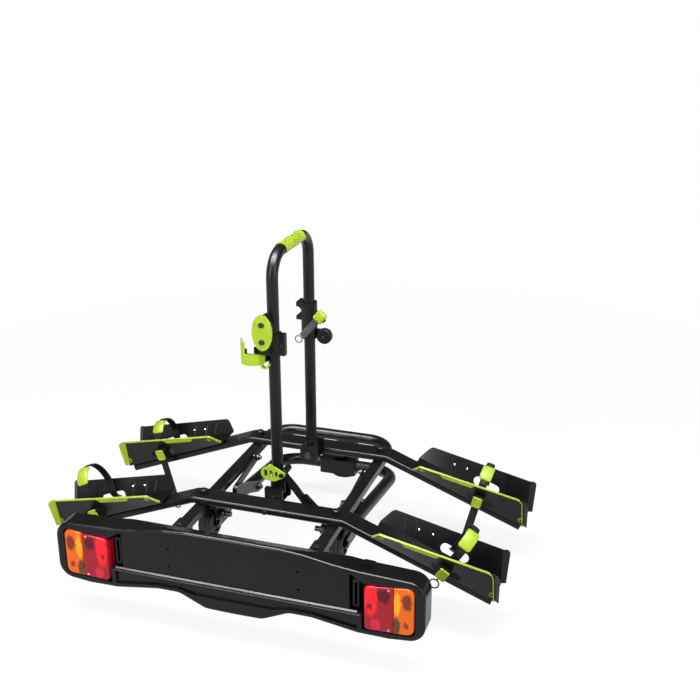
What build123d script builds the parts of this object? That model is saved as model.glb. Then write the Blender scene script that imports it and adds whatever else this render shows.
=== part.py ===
import os
from math import atan, cos, degrees, radians, sin, tan

from build123d import *

os.makedirs("parts", exist_ok=True)

# Frame: origin at the centre of the tow-ball socket, +X right, +Y towards the car, +Z up, millimetres

# Driving dimensions: crossbars and wings
BAR_SPACING = 318.0          # between the two crossbar centre lines
BAR_FRONT_Y = -190.0         # car-side crossbar
BAR_REAR_Y = BAR_FRONT_Y - BAR_SPACING
BAR_TOP_Z = 145.0
BAR_WIDTH = 50.0
BAR_HEIGHT = 16.0
BAR_WALL = 2.0
BAR_CORNER_R = 5.0
BAR_BREAK_X = 170.0          # where the flat middle turns into a wing
BAR_BEND_R = 32.0
BAR_HALF_LENGTH = 487.0
WING_ANGLE = 21.3
BAR_MID_Z = BAR_TOP_Z - BAR_HEIGHT / 2
BAR_BOTTOM_Z = BAR_TOP_Z - BAR_HEIGHT
WING_SLOPE = tan(radians(WING_ANGLE))
BAR_END_Z = BAR_MID_Z - (BAR_HALF_LENGTH - BAR_BREAK_X) * WING_SLOPE
CAP_THICK = 3.0
CAP_SPIGOT = 12.0

# Driving dimensions: side rails and front bow
RAIL_X = 151.5
RAIL_WIDTH = 25.0
RAIL_HEIGHT = 20.0
RAIL_WALL = 2.0
RAIL_CORNER_R = 3.0
RAIL_MID_Z = BAR_BOTTOM_Z - RAIL_HEIGHT / 2
RAIL_REAR_Y = -655.0
RAIL_FRONT_Y = -160.0
RAIL_INNER_X = RAIL_X - RAIL_WIDTH / 2
BOW_R = 13.0
BOW_APEX_Y = -85.5
BOW_BEND_R = 60.0
BOW_SPIGOT_R = RAIL_HEIGHT / 2 - RAIL_WALL - 0.1
BOW_SPIGOT = 30.0

# Driving dimensions: base tube
BASE_R = 14.5
BASE_WALL = 2.5
BASE_LEG_X = 149.0
BASE_APEX_Y = -45.0
BASE_APEX_Z = 19.6
BASE_SLOPE = atan(0.1212)
BASE_END_Y = -450.0
BASE_BEND_R = 65.0
BASE_LEG = (BASE_APEX_Y - BASE_END_Y) / cos(BASE_SLOPE)
BASE_PLANE = Plane(
    origin=(0, BASE_APEX_Y, BASE_APEX_Z),
    x_dir=(1, 0, 0),
    z_dir=(0, sin(BASE_SLOPE), cos(BASE_SLOPE)),
)

# Driving dimensions: coupling
BALL_R = 25.0
SOCKET_R = BALL_R + 0.2
COUPLING_R = 33.0
COUPLING_TOP_Z = 38.0
COUPLING_RIM_Z = -24.0
SADDLE_HALF_X = 46.0
SADDLE_REAR_Y = BASE_APEX_Y - BASE_R - 6.0
LEVER_AXIS_Y = 16.0
LEVER_AXIS_Z = 48.0
LEVER_PIN_R = 4.0
LEVER_HALF_X = 18.0

# Driving dimensions: tilt pivot, forks and wheels
TILT_Y = -490.0
TILT_Z = 92.0
AXLE_Z = 66.0
WHEEL_R = 32.0
WHEEL_WIDTH = 33.0
HUB_R = 19.0
AXLE_R = 4.0
PIN_R = 6.0
RUN_FIT = 0.05               # radial running clearance of every turning bore
SIDE_GAP = 0.3               # end play beside every turning boss
FORK_THICK = 3.0
FORK_IN_X = BASE_LEG_X - WHEEL_WIDTH / 2 - 1.0
FORK_OUT_X = BASE_LEG_X + WHEEL_WIDTH / 2 + 1.0
FORK_COLLAR_R = 19.0
FORK_COLLAR = 38.0
EAR_THICK = 5.0
EAR_OUT_X = FORK_IN_X - FORK_THICK - 2.5
EAR_HALF_Y = 24.0

# Driving dimensions: folding stays
STAY_TOP_Y = -261.0
STAY_TOP_Z = RAIL_MID_Z
STAY_LOW_Y = -270.0
STAY_LOW_Z = BASE_APEX_Z + (BASE_APEX_Y - STAY_LOW_Y) * tan(BASE_SLOPE)
KNEE_Y = -390.0
KNEE_Z = 98.0
STAY_THICK = 4.0
STAY_STUD_R = 4.0
STAY_UP_X = RAIL_INNER_X - 4.0
STAY_UP_END_R = 9.0
STAY_LOW_X = STAY_UP_X - STAY_THICK - 1.0
STAY_LOW_END_R = 13.0
KNEE_PIN_R = 3.5
KNEE_PLAY = 5.6              # sideways travel of the pin in the lower link

# Driving dimensions: hoop and its hinge
HOOP_OFFSET = 29.0           # leg centre line from the crossbar face
HOOP_REAR_Y = BAR_REAR_Y + BAR_WIDTH / 2 + HOOP_OFFSET
HOOP_FRONT_Y = BAR_FRONT_Y - BAR_WIDTH / 2 - HOOP_OFFSET
HOOP_R = 12.5
HOOP_WALL = 2.0
HOOP_TOP_Z = 676.0
HOOP_FOOT_Z = 158.0
HOOP_BEND_R = 50.0
HINGE_Z = 146.0
HINGE_PIN_R = 5.0
HINGE_PLATE = 4.0
HINGE_BOSS_R = 12.0
FOOT_CUP_R = 16.0
FOOT_CUP_TOP_Z = 180.0
BRACKET_LEFT_X = -20.0
BRACKET_RIGHT_X = 21.0
BRACKET_LOW_Z = 128.0
BRACKET_HIGH_Z = 170.0
SHELF_THICK = 3.0
GRIP_R = 15.0
GRIP_REAR_Y = -403.0
GRIP_FRONT_Y = -296.0

# Driving dimensions: trays
TRAY_END_X = BAR_HALF_LENGTH + 11.0
TRAY_KINK_X = TRAY_END_X - 236.0
TRAY_IN_X = TRAY_KINK_X - 24.0
TRAY_WALL_IN = 36.3          # height of a tray wall above the wing at its inner kink
TRAY_WALL_OUT = 76.6         # height of a tray wall above the wing at its outer end
TRAY_FLOOR_HALF = 33.0
TRAY_EDGE_HALF_IN = 56.0
TRAY_EDGE_HALF_OUT = 51.0
TRAY_WALL = 2.6
TRAY_LIFT = 3.6              # underside of the tray above the wing
TRAY_ROUND_R = 14.0
TRAY_RIBS = (28.0, 52.0, 84.0, 184.0, 208.0)
TRIM_HOLES = (58.0, 88.0)
TRIM_HOLE_R = 2.6
TRIM_HOLE_DROP = 19.0
PAD_PLACES = (13.0, 178.0)   # support pads under a tray
FLARE_WIDTH = 15.0           # flared rim at the outer end of each tray wall
FLARE_FOOT = 10.5
FLARE_ANGLE = 36.0
FLARE_ROOT = 3.0
CUTOUT_X = TRAY_KINK_X + 136.0
CUTOUT_LONG = 64.0
CUTOUT_HIGH = 20.0
CUTOUT_RISE = 19.0
TRIM_THICK = 1.8
TRIM_OVER = 1.2
TRIM_DEEP = 4.5
TRIM_BAND_DEEP = 13.0
TRIM_BAND_IN_X = TRAY_KINK_X + 46.0
TRIM_BAND_OUT_X = TRAY_KINK_X + 127.0
EYELET_R = 5.5
EYELET_HOLE_R = 2.6

# Driving dimensions: wheel straps
STRAP_X = TRAY_KINK_X + 126.0
STRAP_WIDTH = 18.0
STRAP_THICK = 2.4
PAD_WIDTH = 29.0
PAD_THICK = 6.0
BUCKLE_HALF = 11.5
BUCKLE_DEEP = 8.0

# Driving dimensions: light board; its outlines are shares of the half width and heights
BOARD_FRONT_Y = -710.0
BOARD_BACK_Y = -662.0
BOARD_HALF = 398.0
BOARD_CORNER_R = 34.0
BOARD_BEND_R = 40.0
BOARD_EDGE_R = 6.0
BOARD_TOP = ((0.0, 165.5), (0.251, 165.0), (0.377, 161.0), (0.525, 151.0), (0.66, 145.0), (1.0, 139.0))
BOARD_BOTTOM = ((1.0, 13.0), (0.82, 6.0), (0.66, 7.0), (0.42, 21.5), (0.3, 21.5), (0.156, -4.5), (0.0, -5.5))
BOARD_SLOPE = 0.42           # fall of the top towards the car
BEZEL_DEEP = 8.0
BEZEL_BACK_Y = BOARD_FRONT_Y + BEZEL_DEEP
WINDOW_TOP = ((0.0, 157.5), (0.246, 157.0), (0.377, 153.0), (0.525, 143.5), (0.628, 137.5), (0.688, 122.5))
LEDGE_Z = 56.0
COVE_TOP_Z = 50.0
COVE_DEEP = 5.0
COVE_BOTTOM = ((0.66, 18.0), (0.42, 32.0), (0.3, 32.0), (0.21, 24.0), (0.0, 24.0))
GROOVE_IN = 0.618            # end of the plate panel
GROOVE_OUT = 0.683
LAMP_IN_X = 0.696 * BOARD_HALF
LAMP_SPLIT_X = 0.844 * BOARD_HALF
LAMP_OUT_X = 0.945 * BOARD_HALF
LAMP_LOW_Z = 22.0
LAMP_HIGH_Z = 119.0
LAMP_LOW_RISE = 0.03
LAMP_HIGH_RISE = 0.075
LAMP_GAP = 3.0
LAMP_POCKET = 22.0
LAMP_CASE_WALL = 3.0
LENS_THICK = 8.0
PANEL_THICK = 4.0
PANEL_GAP = 0.4
POST_WIDTH = 13.0
HUMP_OUTLINE = ((0.648, 138), (0.665, 149), (0.72, 148), (0.735, 138))   # cover on the top, right side only
BACK_POCKETS = (
    (0.0, 101.0, 236.0, 66.0),
    (-212.0, 99.0, 52.0, 62.0),
    (212.0, 99.0, 52.0, 62.0),
    (-160.0, 40.0, 150.0, 20.0),
    (160.0, 40.0, 150.0, 20.0),
)                            # x, z, width and height of each
BACK_POCKET_DEEP = 33.0
GLAND_X = 60.0
GLAND_Z = 42.0
BOARD_BOLT_Y = -632.0
PLATE_HOLE_R = 2.6
PLATE_HOLE_X = 280.0         # spacing of the plate screw holes across
PLATE_HOLE_Z = 40.0          # spacing of the plate screw holes upwards
PLATE_MID_Z = 99.0
SLEEVE_FRONT_Y = -600.0


def wing_top(x):
    """Height of the crossbar's top face on the wing."""
    return BAR_MID_Z + BAR_HEIGHT / 2 / cos(radians(WING_ANGLE)) - (x - BAR_BREAK_X) * WING_SLOPE


TRAY_KINK_Z = wing_top(TRAY_KINK_X) + TRAY_WALL_IN
TRAY_END_Z = wing_top(TRAY_END_X) + TRAY_WALL_OUT
TRAY_EDGE_SLOPE = (TRAY_KINK_Z - TRAY_END_Z) / (TRAY_END_X - TRAY_KINK_X)


def tray_edge(x):
    """Height of the tray's upper edge."""
    return TRAY_KINK_Z - (x - TRAY_KINK_X) * TRAY_EDGE_SLOPE


def tray_half(x):
    """Half width of the tray at its upper edge."""
    share = (x - TRAY_KINK_X) / (TRAY_END_X - TRAY_KINK_X)
    return TRAY_EDGE_HALF_IN + share * (TRAY_EDGE_HALF_OUT - TRAY_EDGE_HALF_IN)


def tray_lean(x):
    """Sideways run of a tray wall for each millimetre of height."""
    return (tray_half(x) - TRAY_FLOOR_HALF) / (tray_edge(x) - wing_top(x) - TRAY_LIFT)


def trough(grow, share):
    """A filled trough between two cross sections; grow widens it, share is its height in wall heights."""
    with BuildPart() as body:
        for x in (TRAY_IN_X - 6.0, TRAY_END_X + 6.0):
            low = wing_top(x) + TRAY_LIFT
            high = low + share * (tray_edge(x) - low)
            low_half = TRAY_FLOOR_HALF + grow
            high_half = low_half + share * (tray_half(x) - TRAY_FLOOR_HALF)
            with BuildSketch(Plane(origin=(x, 0, 0), x_dir=(0, 1, 0), z_dir=(1, 0, 0))):
                Polygon((-high_half, high), (-low_half, low), (low_half, low), (high_half, high), align=None)
        loft(ruled=True)
    return body.part


def side_view(high_y):
    """Sketch plane seen from the rear: X right and Z up, extruding towards the rear."""
    return Plane(origin=(0, high_y, 0), x_dir=(1, 0, 0), z_dir=(0, -1, 0))


def end_view(low_x):
    """Sketch plane seen from the right: Y right and Z up, extruding to the right."""
    return Plane(origin=(low_x, 0, 0), x_dir=(0, 1, 0), z_dir=(1, 0, 0))


# Base tube: a flat U on its side, joined to the coupling at its apex
with BuildPart() as base_tube:
    with BuildLine(BASE_PLANE) as base_line:
        FilletPolyline(
            (-BASE_LEG_X, -BASE_LEG),
            (-BASE_LEG_X, 0),
            (BASE_LEG_X, 0),
            (BASE_LEG_X, -BASE_LEG),
            radius=BASE_BEND_R,
        )
    with BuildSketch(Plane(origin=base_line.line @ 0, z_dir=base_line.line % 0)):
        Circle(BASE_R)
        Circle(BASE_R - BASE_WALL, mode=Mode.SUBTRACT)
    sweep()
    with Locations((0, STAY_LOW_Y, STAY_LOW_Z)):
        Cylinder(STAY_STUD_R, 2 * (BASE_LEG_X - 2), rotation=(0, 90, 0), mode=Mode.SUBTRACT)

# Coupling head: ball cup, neck and a saddle round the base tube
with BuildPart() as coupling_housing:
    with BuildSketch(Plane.XY.offset(COUPLING_RIM_Z)):
        Circle(COUPLING_R)
    extrude(amount=COUPLING_TOP_Z - COUPLING_RIM_Z)
    fillet(coupling_housing.edges().group_by(Axis.Z)[-1], radius=9)
    with BuildSketch(Plane.XY.offset(2)):
        with Locations((0, (SADDLE_REAR_Y - 10) / 2)):
            Rectangle(2 * 28, -SADDLE_REAR_Y - 10)
    extrude(amount=36)
    with BuildSketch(Plane.XY):
        with Locations((0, (SADDLE_REAR_Y - 24) / 2)):
            RectangleRounded(2 * SADDLE_HALF_X, -SADDLE_REAR_Y - 24, 5)
    extrude(amount=COUPLING_TOP_Z)
    with Locations((0, BASE_APEX_Y, BASE_APEX_Z)):
        Cylinder(BASE_R, 2 * SADDLE_HALF_X + 2, rotation=(0, 90, 0), mode=Mode.SUBTRACT)
    Sphere(SOCKET_R, mode=Mode.SUBTRACT)
    with Locations((0, 0, COUPLING_RIM_Z)):
        Cylinder(BALL_R - 1.5, 24, mode=Mode.SUBTRACT)
    for side in (-1, 1):
        with BuildSketch(end_view(side * (LEVER_HALF_X + 4) - 3)):
            with Locations((LEVER_AXIS_Y, LEVER_AXIS_Z)):
                Circle(9)
            with Locations((LEVER_AXIS_Y, LEVER_AXIS_Z - 8)):
                Rectangle(18, 16)
        extrude(amount=6)
    with Locations((0, LEVER_AXIS_Y, LEVER_AXIS_Z)):
        Cylinder(LEVER_PIN_R, 4 * LEVER_HALF_X, rotation=(0, 90, 0), mode=Mode.SUBTRACT)

# Coupling lever: short handle that lies along the coupling head
with BuildPart() as coupling_lever:
    with BuildSketch(end_view(-LEVER_HALF_X + 1.2)) as lever_profile:
        with BuildLine():
            Polyline(
                (LEVER_AXIS_Y + 8.4, LEVER_AXIS_Z - 3),
                (LEVER_AXIS_Y + 5, LEVER_AXIS_Z + 7.6),
                (LEVER_AXIS_Y - 14, LEVER_AXIS_Z + 8),
                (-48, 60),
                (-66, 54),
                (-66, 48),
                (-48, 50),
                (-20, 44),
                (LEVER_AXIS_Y - 8, 40.5),
                (LEVER_AXIS_Y + 6, 40.5),
                close=True,
            )
        make_face()
        fillet(lever_profile.vertices(), radius=2.0)
    extrude(amount=2 * LEVER_HALF_X - 2.4)
    with Locations((0, -30, 58)):
        Box(20, 34, 8, mode=Mode.SUBTRACT)
    with Locations((0, LEVER_AXIS_Y, LEVER_AXIS_Z)):
        Cylinder(LEVER_PIN_R + RUN_FIT, 3 * LEVER_HALF_X, rotation=(0, 90, 0), mode=Mode.SUBTRACT)

# Forks: a collar on each leg of the base tube with two cheeks for the wheel and the tilt pin
with BuildPart() as forks:
    with BuildSketch(Plane(origin=base_line.line @ 1, z_dir=-(base_line.line % 1)).offset(-2.0)):
        Circle(FORK_COLLAR_R)
        Circle(BASE_R, mode=Mode.SUBTRACT)
    extrude(amount=FORK_COLLAR)
    with BuildSketch(end_view(FORK_IN_X - FORK_THICK)):
        with Locations((BASE_END_Y + 14, 67)):
            Circle(14)
        with Locations((TILT_Y, AXLE_Z)):
            Circle(11)
        with Locations((TILT_Y, TILT_Z)):
            Circle(13)
        make_hull()
    extrude(amount=FORK_THICK)
    with BuildSketch(end_view(FORK_OUT_X)):
        with Locations((BASE_END_Y + 14, 67)):
            Circle(14)
        with Locations((TILT_Y, AXLE_Z)):
            Circle(11)
        make_hull()
    extrude(amount=FORK_THICK)
    with Locations((BASE_LEG_X, TILT_Y, AXLE_Z)):
        Cylinder(AXLE_R, WHEEL_WIDTH + 12, rotation=(0, 90, 0), mode=Mode.SUBTRACT)
    with Locations((FORK_IN_X, TILT_Y, TILT_Z)):
        Cylinder(PIN_R, 12, rotation=(0, 90, 0), mode=Mode.SUBTRACT)

    mirror(about=Plane.YZ)

# Pins of the base: wheel axles, tilt pins, lower stay studs and the coupling pin
with BuildPart() as base_pins:
    for side in (-1, 1):
        with Locations((side * (STAY_LOW_X + SIDE_GAP + 3.5), STAY_LOW_Y, STAY_LOW_Z)):
            Cylinder(8, 7, rotation=(0, 90, 0))
        with BuildSketch(Plane(origin=(side * BASE_LEG_X, BASE_APEX_Y, BASE_APEX_Z),
                               z_dir=(0, -cos(BASE_SLOPE), sin(BASE_SLOPE)))):
            Circle(BASE_R)
        extrude(amount=BASE_LEG, mode=Mode.SUBTRACT)
    for side in (-1, 1):
        with Locations((side * (BASE_LEG_X - BASE_R - 4.5), STAY_LOW_Y, STAY_LOW_Z)):
            Cylinder(STAY_STUD_R, 27, rotation=(0, 90, 0))
        with Locations((side * (STAY_LOW_X - STAY_THICK - SIDE_GAP - 2.5), STAY_LOW_Y, STAY_LOW_Z)):
            Cylinder(8, 5, rotation=(0, 90, 0))
        with Locations((side * BASE_LEG_X, TILT_Y, AXLE_Z)):
            Cylinder(AXLE_R, WHEEL_WIDTH + 2 + 2 * FORK_THICK, rotation=(0, 90, 0))
        for end in (-1, 1):
            with Locations((side * BASE_LEG_X + end * (WHEEL_WIDTH / 2 + FORK_THICK + 3), TILT_Y, AXLE_Z)):
                Cylinder(7, 4, rotation=(0, 90, 0))
        with Locations((side * (FORK_IN_X + 98) / 2, TILT_Y, TILT_Z)):
            Cylinder(PIN_R, FORK_IN_X - 98, rotation=(0, 90, 0))
        with Locations((side * (EAR_OUT_X - EAR_THICK - SIDE_GAP - 5), TILT_Y, TILT_Z)):
            Cylinder(10, 10, rotation=(0, 90, 0))
        with Locations((side * (FORK_IN_X - FORK_THICK - 1.1), TILT_Y, TILT_Z)):
            Cylinder(9, 2.2, rotation=(0, 90, 0))
        with Locations((side * (LEVER_HALF_X + 8.5), LEVER_AXIS_Y, LEVER_AXIS_Z)):
            Cylinder(6.5, 3, rotation=(0, 90, 0))
    with Locations((0, LEVER_AXIS_Y, LEVER_AXIS_Z)):
        Cylinder(LEVER_PIN_R, 2 * (LEVER_HALF_X + 7), rotation=(0, 90, 0))

# Wheels: hub and rubber tyre on each side
with BuildPart() as hub_right:
    with BuildSketch(end_view(BASE_LEG_X - WHEEL_WIDTH / 2 + 3)):
        with Locations((TILT_Y, AXLE_Z)):
            Circle(HUB_R)
            with PolarLocations(13.5, 5):
                RectangleRounded(6, 6, 2, mode=Mode.SUBTRACT)
    extrude(amount=WHEEL_WIDTH - 6)
    with Locations((BASE_LEG_X, TILT_Y, AXLE_Z)):
        Cylinder(8, WHEEL_WIDTH + 1, rotation=(0, 90, 0))
        Cylinder(AXLE_R + RUN_FIT, WHEEL_WIDTH + 4, rotation=(0, 90, 0), mode=Mode.SUBTRACT)

with BuildPart() as hub_left:
    mirror(hub_right.part, about=Plane.YZ)

TYRE_SECTION = ((-1.0, 26.0), (-0.82, 31.0), (-0.66, WHEEL_R), (-0.58, WHEEL_R), (-0.54, 30.8), (-0.46, 30.8),
                (-0.42, WHEEL_R), (-0.06, WHEEL_R), (-0.03, 30.8))
with BuildPart() as tyre_right:
    with BuildSketch(Plane(origin=(BASE_LEG_X, TILT_Y, AXLE_Z), x_dir=(1, 0, 0), z_dir=(0, -1, 0))):
        half_section = [(share * WHEEL_WIDTH / 2, radius) for share, radius in TYRE_SECTION]
        Polygon(
            (-WHEEL_WIDTH / 2, HUB_R),
            *half_section,
            *[(-x, radius) for x, radius in reversed(half_section)],
            (WHEEL_WIDTH / 2, HUB_R),
            align=None,
        )
    revolve(axis=Axis((BASE_LEG_X, TILT_Y, AXLE_Z), (1, 0, 0)))

with BuildPart() as tyre_left:
    mirror(tyre_right.part, about=Plane.YZ)

# Folding stays: upper link from the rail to the knee, lower link from the base tube to the knee
with BuildPart() as stay_upper_right:
    with BuildSketch(end_view(STAY_UP_X - STAY_THICK)):
        with Locations((STAY_TOP_Y, STAY_TOP_Z)):
            Circle(STAY_UP_END_R)
        with Locations((KNEE_Y, KNEE_Z)):
            Circle(STAY_UP_END_R)
        make_hull()
        with Locations((STAY_TOP_Y, STAY_TOP_Z)):
            Circle(STAY_STUD_R + RUN_FIT, mode=Mode.SUBTRACT)
    extrude(amount=STAY_THICK)
    with Locations((STAY_UP_X - STAY_THICK - 3.5, KNEE_Y, KNEE_Z)):
        Cylinder(KNEE_PIN_R, 7, rotation=(0, 90, 0))
    with Locations((STAY_LOW_X - STAY_THICK - 2, KNEE_Y, KNEE_Z)):
        Cylinder(STAY_LOW_END_R, 3, rotation=(0, 90, 0))

with BuildPart() as stay_upper_left:
    mirror(stay_upper_right.part, about=Plane.YZ)

with BuildPart() as stay_lower_right:
    with BuildSketch(end_view(STAY_LOW_X - STAY_THICK)):
        with Locations((STAY_LOW_Y, STAY_LOW_Z), (KNEE_Y, KNEE_Z)):
            Circle(STAY_LOW_END_R)
        make_hull()
        with Locations((STAY_LOW_Y, STAY_LOW_Z)):
            Circle(STAY_STUD_R + RUN_FIT, mode=Mode.SUBTRACT)
        with Locations((KNEE_Y, KNEE_Z)):
            Circle(KNEE_PIN_R + KNEE_PLAY, mode=Mode.SUBTRACT)
    extrude(amount=STAY_THICK)

with BuildPart() as stay_lower_left:
    mirror(stay_lower_right.part, about=Plane.YZ)

# Side rails: rectangular tubes that carry the crossbars
with BuildPart() as rail_right:
    with BuildSketch(Plane(origin=(RAIL_X, RAIL_FRONT_Y, RAIL_MID_Z), x_dir=(1, 0, 0), z_dir=(0, -1, 0))):
        RectangleRounded(RAIL_WIDTH, RAIL_HEIGHT, RAIL_CORNER_R)
        Rectangle(RAIL_WIDTH - 2 * RAIL_WALL, RAIL_HEIGHT - 2 * RAIL_WALL, mode=Mode.SUBTRACT)
    extrude(amount=RAIL_FRONT_Y - RAIL_REAR_Y)
    with Locations((RAIL_X, BAR_REAR_Y, RAIL_MID_Z), (RAIL_X, BAR_FRONT_Y, RAIL_MID_Z)):
        Cylinder(4.1, RAIL_HEIGHT + 2, mode=Mode.SUBTRACT)
    with Locations((RAIL_INNER_X, STAY_TOP_Y, STAY_TOP_Z)):
        Cylinder(STAY_STUD_R, 10, rotation=(0, 90, 0), mode=Mode.SUBTRACT)

with BuildPart() as rail_left:
    mirror(rail_right.part, about=Plane.YZ)

# Front bow: round tube bent round the car side, its necked ends sit in the rails
with BuildPart() as front_bow:
    with BuildLine(Plane.XY.offset(RAIL_MID_Z)) as bow_line:
        FilletPolyline(
            (-RAIL_X, RAIL_FRONT_Y),
            (-RAIL_X, BOW_APEX_Y),
            (RAIL_X, BOW_APEX_Y),
            (RAIL_X, RAIL_FRONT_Y),
            radius=BOW_BEND_R,
        )
    with BuildSketch(Plane(origin=bow_line.line @ 0, z_dir=bow_line.line % 0)):
        Circle(BOW_R)
        Circle(BOW_R - 2, mode=Mode.SUBTRACT)
    sweep()
    for side in (-1, 1):
        with BuildSketch(Plane(origin=(side * RAIL_X, RAIL_FRONT_Y + 10, RAIL_MID_Z), z_dir=(0, -1, 0))):
            Circle(BOW_R - 1.5)
            Circle(BOW_SPIGOT_R - 2, mode=Mode.SUBTRACT)
        extrude(amount=10)
        with BuildSketch(Plane(origin=(side * RAIL_X, RAIL_FRONT_Y, RAIL_MID_Z), z_dir=(0, -1, 0))):
            Circle(BOW_SPIGOT_R)
            Circle(BOW_SPIGOT_R - 2, mode=Mode.SUBTRACT)
        extrude(amount=BOW_SPIGOT - 20)


def crossbar(bar_y):
    """One crossbar with its bolt holes."""
    with BuildPart() as bar:
        with BuildLine(Plane(origin=(0, bar_y, 0), x_dir=(1, 0, 0), z_dir=(0, -1, 0))) as bar_line:
            FilletPolyline(
                (-BAR_HALF_LENGTH, BAR_END_Z),
                (-BAR_BREAK_X, BAR_MID_Z),
                (BAR_BREAK_X, BAR_MID_Z),
                (BAR_HALF_LENGTH, BAR_END_Z),
                radius=BAR_BEND_R,
            )
        with BuildSketch(Plane(origin=bar_line.line @ 0, x_dir=(0, 1, 0), z_dir=bar_line.line % 0)):
            RectangleRounded(BAR_WIDTH, BAR_HEIGHT, BAR_CORNER_R)
            RectangleRounded(BAR_WIDTH - 2 * BAR_WALL, BAR_HEIGHT - 2 * BAR_WALL,
                             BAR_CORNER_R - BAR_WALL, mode=Mode.SUBTRACT)
        sweep()
        with Locations((-RAIL_X, bar_y, BAR_MID_Z), (RAIL_X, bar_y, BAR_MID_Z)):
            Cylinder(4.1, BAR_HEIGHT + 4, mode=Mode.SUBTRACT)
        with Locations((0, bar_y, BAR_MID_Z)):
            Cylinder(3.1, BAR_WIDTH + 4, rotation=(90, 0, 0), mode=Mode.SUBTRACT)
    return bar.part


# Crossbars: flat oval tube with drooping wings
with BuildPart() as crossbar_front:
    add(crossbar(BAR_FRONT_Y))

with BuildPart() as crossbar_rear:
    add(crossbar(BAR_REAR_Y))

# Plugs in the four open ends of the crossbars
with BuildPart() as crossbar_caps:
    for bar_y in (BAR_FRONT_Y, BAR_REAR_Y):
        for side in (-1, 1):
            out = (side * cos(radians(WING_ANGLE)), 0, -sin(radians(WING_ANGLE)))
            with BuildSketch(Plane(origin=(side * BAR_HALF_LENGTH, bar_y, BAR_END_Z), x_dir=(0, 1, 0), z_dir=out)):
                RectangleRounded(BAR_WIDTH, BAR_HEIGHT, BAR_CORNER_R)
            extrude(amount=CAP_THICK)
            with BuildSketch(Plane(origin=(side * BAR_HALF_LENGTH, bar_y, BAR_END_Z), x_dir=(0, 1, 0), z_dir=out)):
                RectangleRounded(BAR_WIDTH - 2 * BAR_WALL, BAR_HEIGHT - 2 * BAR_WALL, BAR_CORNER_R - BAR_WALL)
            extrude(amount=-CAP_SPIGOT)

# Platform fasteners: rail bolts, bracket bolts, upper stay studs and board screws
with BuildPart() as platform_bolts:
    for side in (-1, 1):
        for bar_y in (BAR_FRONT_Y, BAR_REAR_Y):
            with Locations((side * RAIL_X, bar_y, (BAR_TOP_Z + 6 + BAR_BOTTOM_Z - RAIL_HEIGHT - 3) / 2)):
                Cylinder(4.1, BAR_HEIGHT + RAIL_HEIGHT + 9)
            with BuildSketch(Plane.XY.offset(BAR_BOTTOM_Z - RAIL_HEIGHT - 3)):
                with Locations((side * RAIL_X, bar_y)):
                    RegularPolygon(7, 6)
            extrude(amount=3)
        with Locations((side * (RAIL_INNER_X - 8), STAY_TOP_Y, STAY_TOP_Z)):
            Cylinder(STAY_STUD_R, 20, rotation=(0, 90, 0))
        with Locations((side * (RAIL_INNER_X - 1.85), STAY_TOP_Y, STAY_TOP_Z)):
            Cylinder(7.5, 3.7, rotation=(0, 90, 0))
        with Locations((side * (STAY_UP_X - STAY_THICK - SIDE_GAP - 2.5), STAY_TOP_Y, STAY_TOP_Z)):
            Cylinder(7.5, 5, rotation=(0, 90, 0))
        with BuildSketch(Plane.XY.offset(RAIL_MID_Z + RAIL_HEIGHT / 2 + 3)):
            with Locations((side * RAIL_X, BOARD_BOLT_Y)):
                RegularPolygon(7, 6)
        extrude(amount=5)
    for bar_y, away in ((BAR_REAR_Y, 1), (BAR_FRONT_Y, -1)):
        head_y = bar_y - away * (BAR_WIDTH / 2 + 4)
        end_y = bar_y + away * (BAR_WIDTH / 2 + HINGE_PLATE - 0.2)
        with Locations((0, (head_y + end_y) / 2, BAR_MID_Z)):
            Cylinder(3.1, abs(end_y - head_y), rotation=(90, 0, 0))
        with Locations((0, head_y + away * 2, BAR_MID_Z)):
            Cylinder(5.5, 4, rotation=(90, 0, 0))

with BuildPart() as crossbar_knobs:
    for bar_y in (BAR_FRONT_Y, BAR_REAR_Y):
        for side in (-1, 1):
            with Locations((side * RAIL_X, bar_y, BAR_TOP_Z + 5.5)):
                Cylinder(8.5, 11)
    fillet(crossbar_knobs.edges().group_by(Axis.Z)[-1], radius=4.5)
    for bar_y in (BAR_FRONT_Y, BAR_REAR_Y):
        for side in (-1, 1):
            with Locations((side * RAIL_X, bar_y, BAR_TOP_Z + 3)):
                Cylinder(4.1, 6, mode=Mode.SUBTRACT)

# Ears under the rails that hang on the tilt pins
with BuildPart() as pivot_ears:
    with BuildSketch(end_view(EAR_OUT_X - EAR_THICK)):
        with Locations((TILT_Y, TILT_Z)):
            Circle(14)
        with Locations((TILT_Y, RAIL_MID_Z)):
            Rectangle(2 * EAR_HALF_Y, RAIL_HEIGHT - 4)
        make_hull()
    extrude(amount=EAR_THICK)
    with Locations(((EAR_OUT_X + RAIL_INNER_X) / 2, TILT_Y, RAIL_MID_Z)):
        Box(RAIL_INNER_X - EAR_OUT_X, 2 * EAR_HALF_Y, RAIL_HEIGHT - 4)
    with Locations((EAR_OUT_X, TILT_Y, TILT_Z)):
        Cylinder(PIN_R + RUN_FIT, 4 * EAR_THICK, rotation=(0, 90, 0), mode=Mode.SUBTRACT)
    with Locations((EAR_OUT_X + 3, TILT_Y, RAIL_MID_Z)):
        with GridLocations(1, 34, 1, 2):
            Cylinder(3, 40, rotation=(0, 90, 0), mode=Mode.SUBTRACT)

    mirror(about=Plane.YZ)


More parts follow.
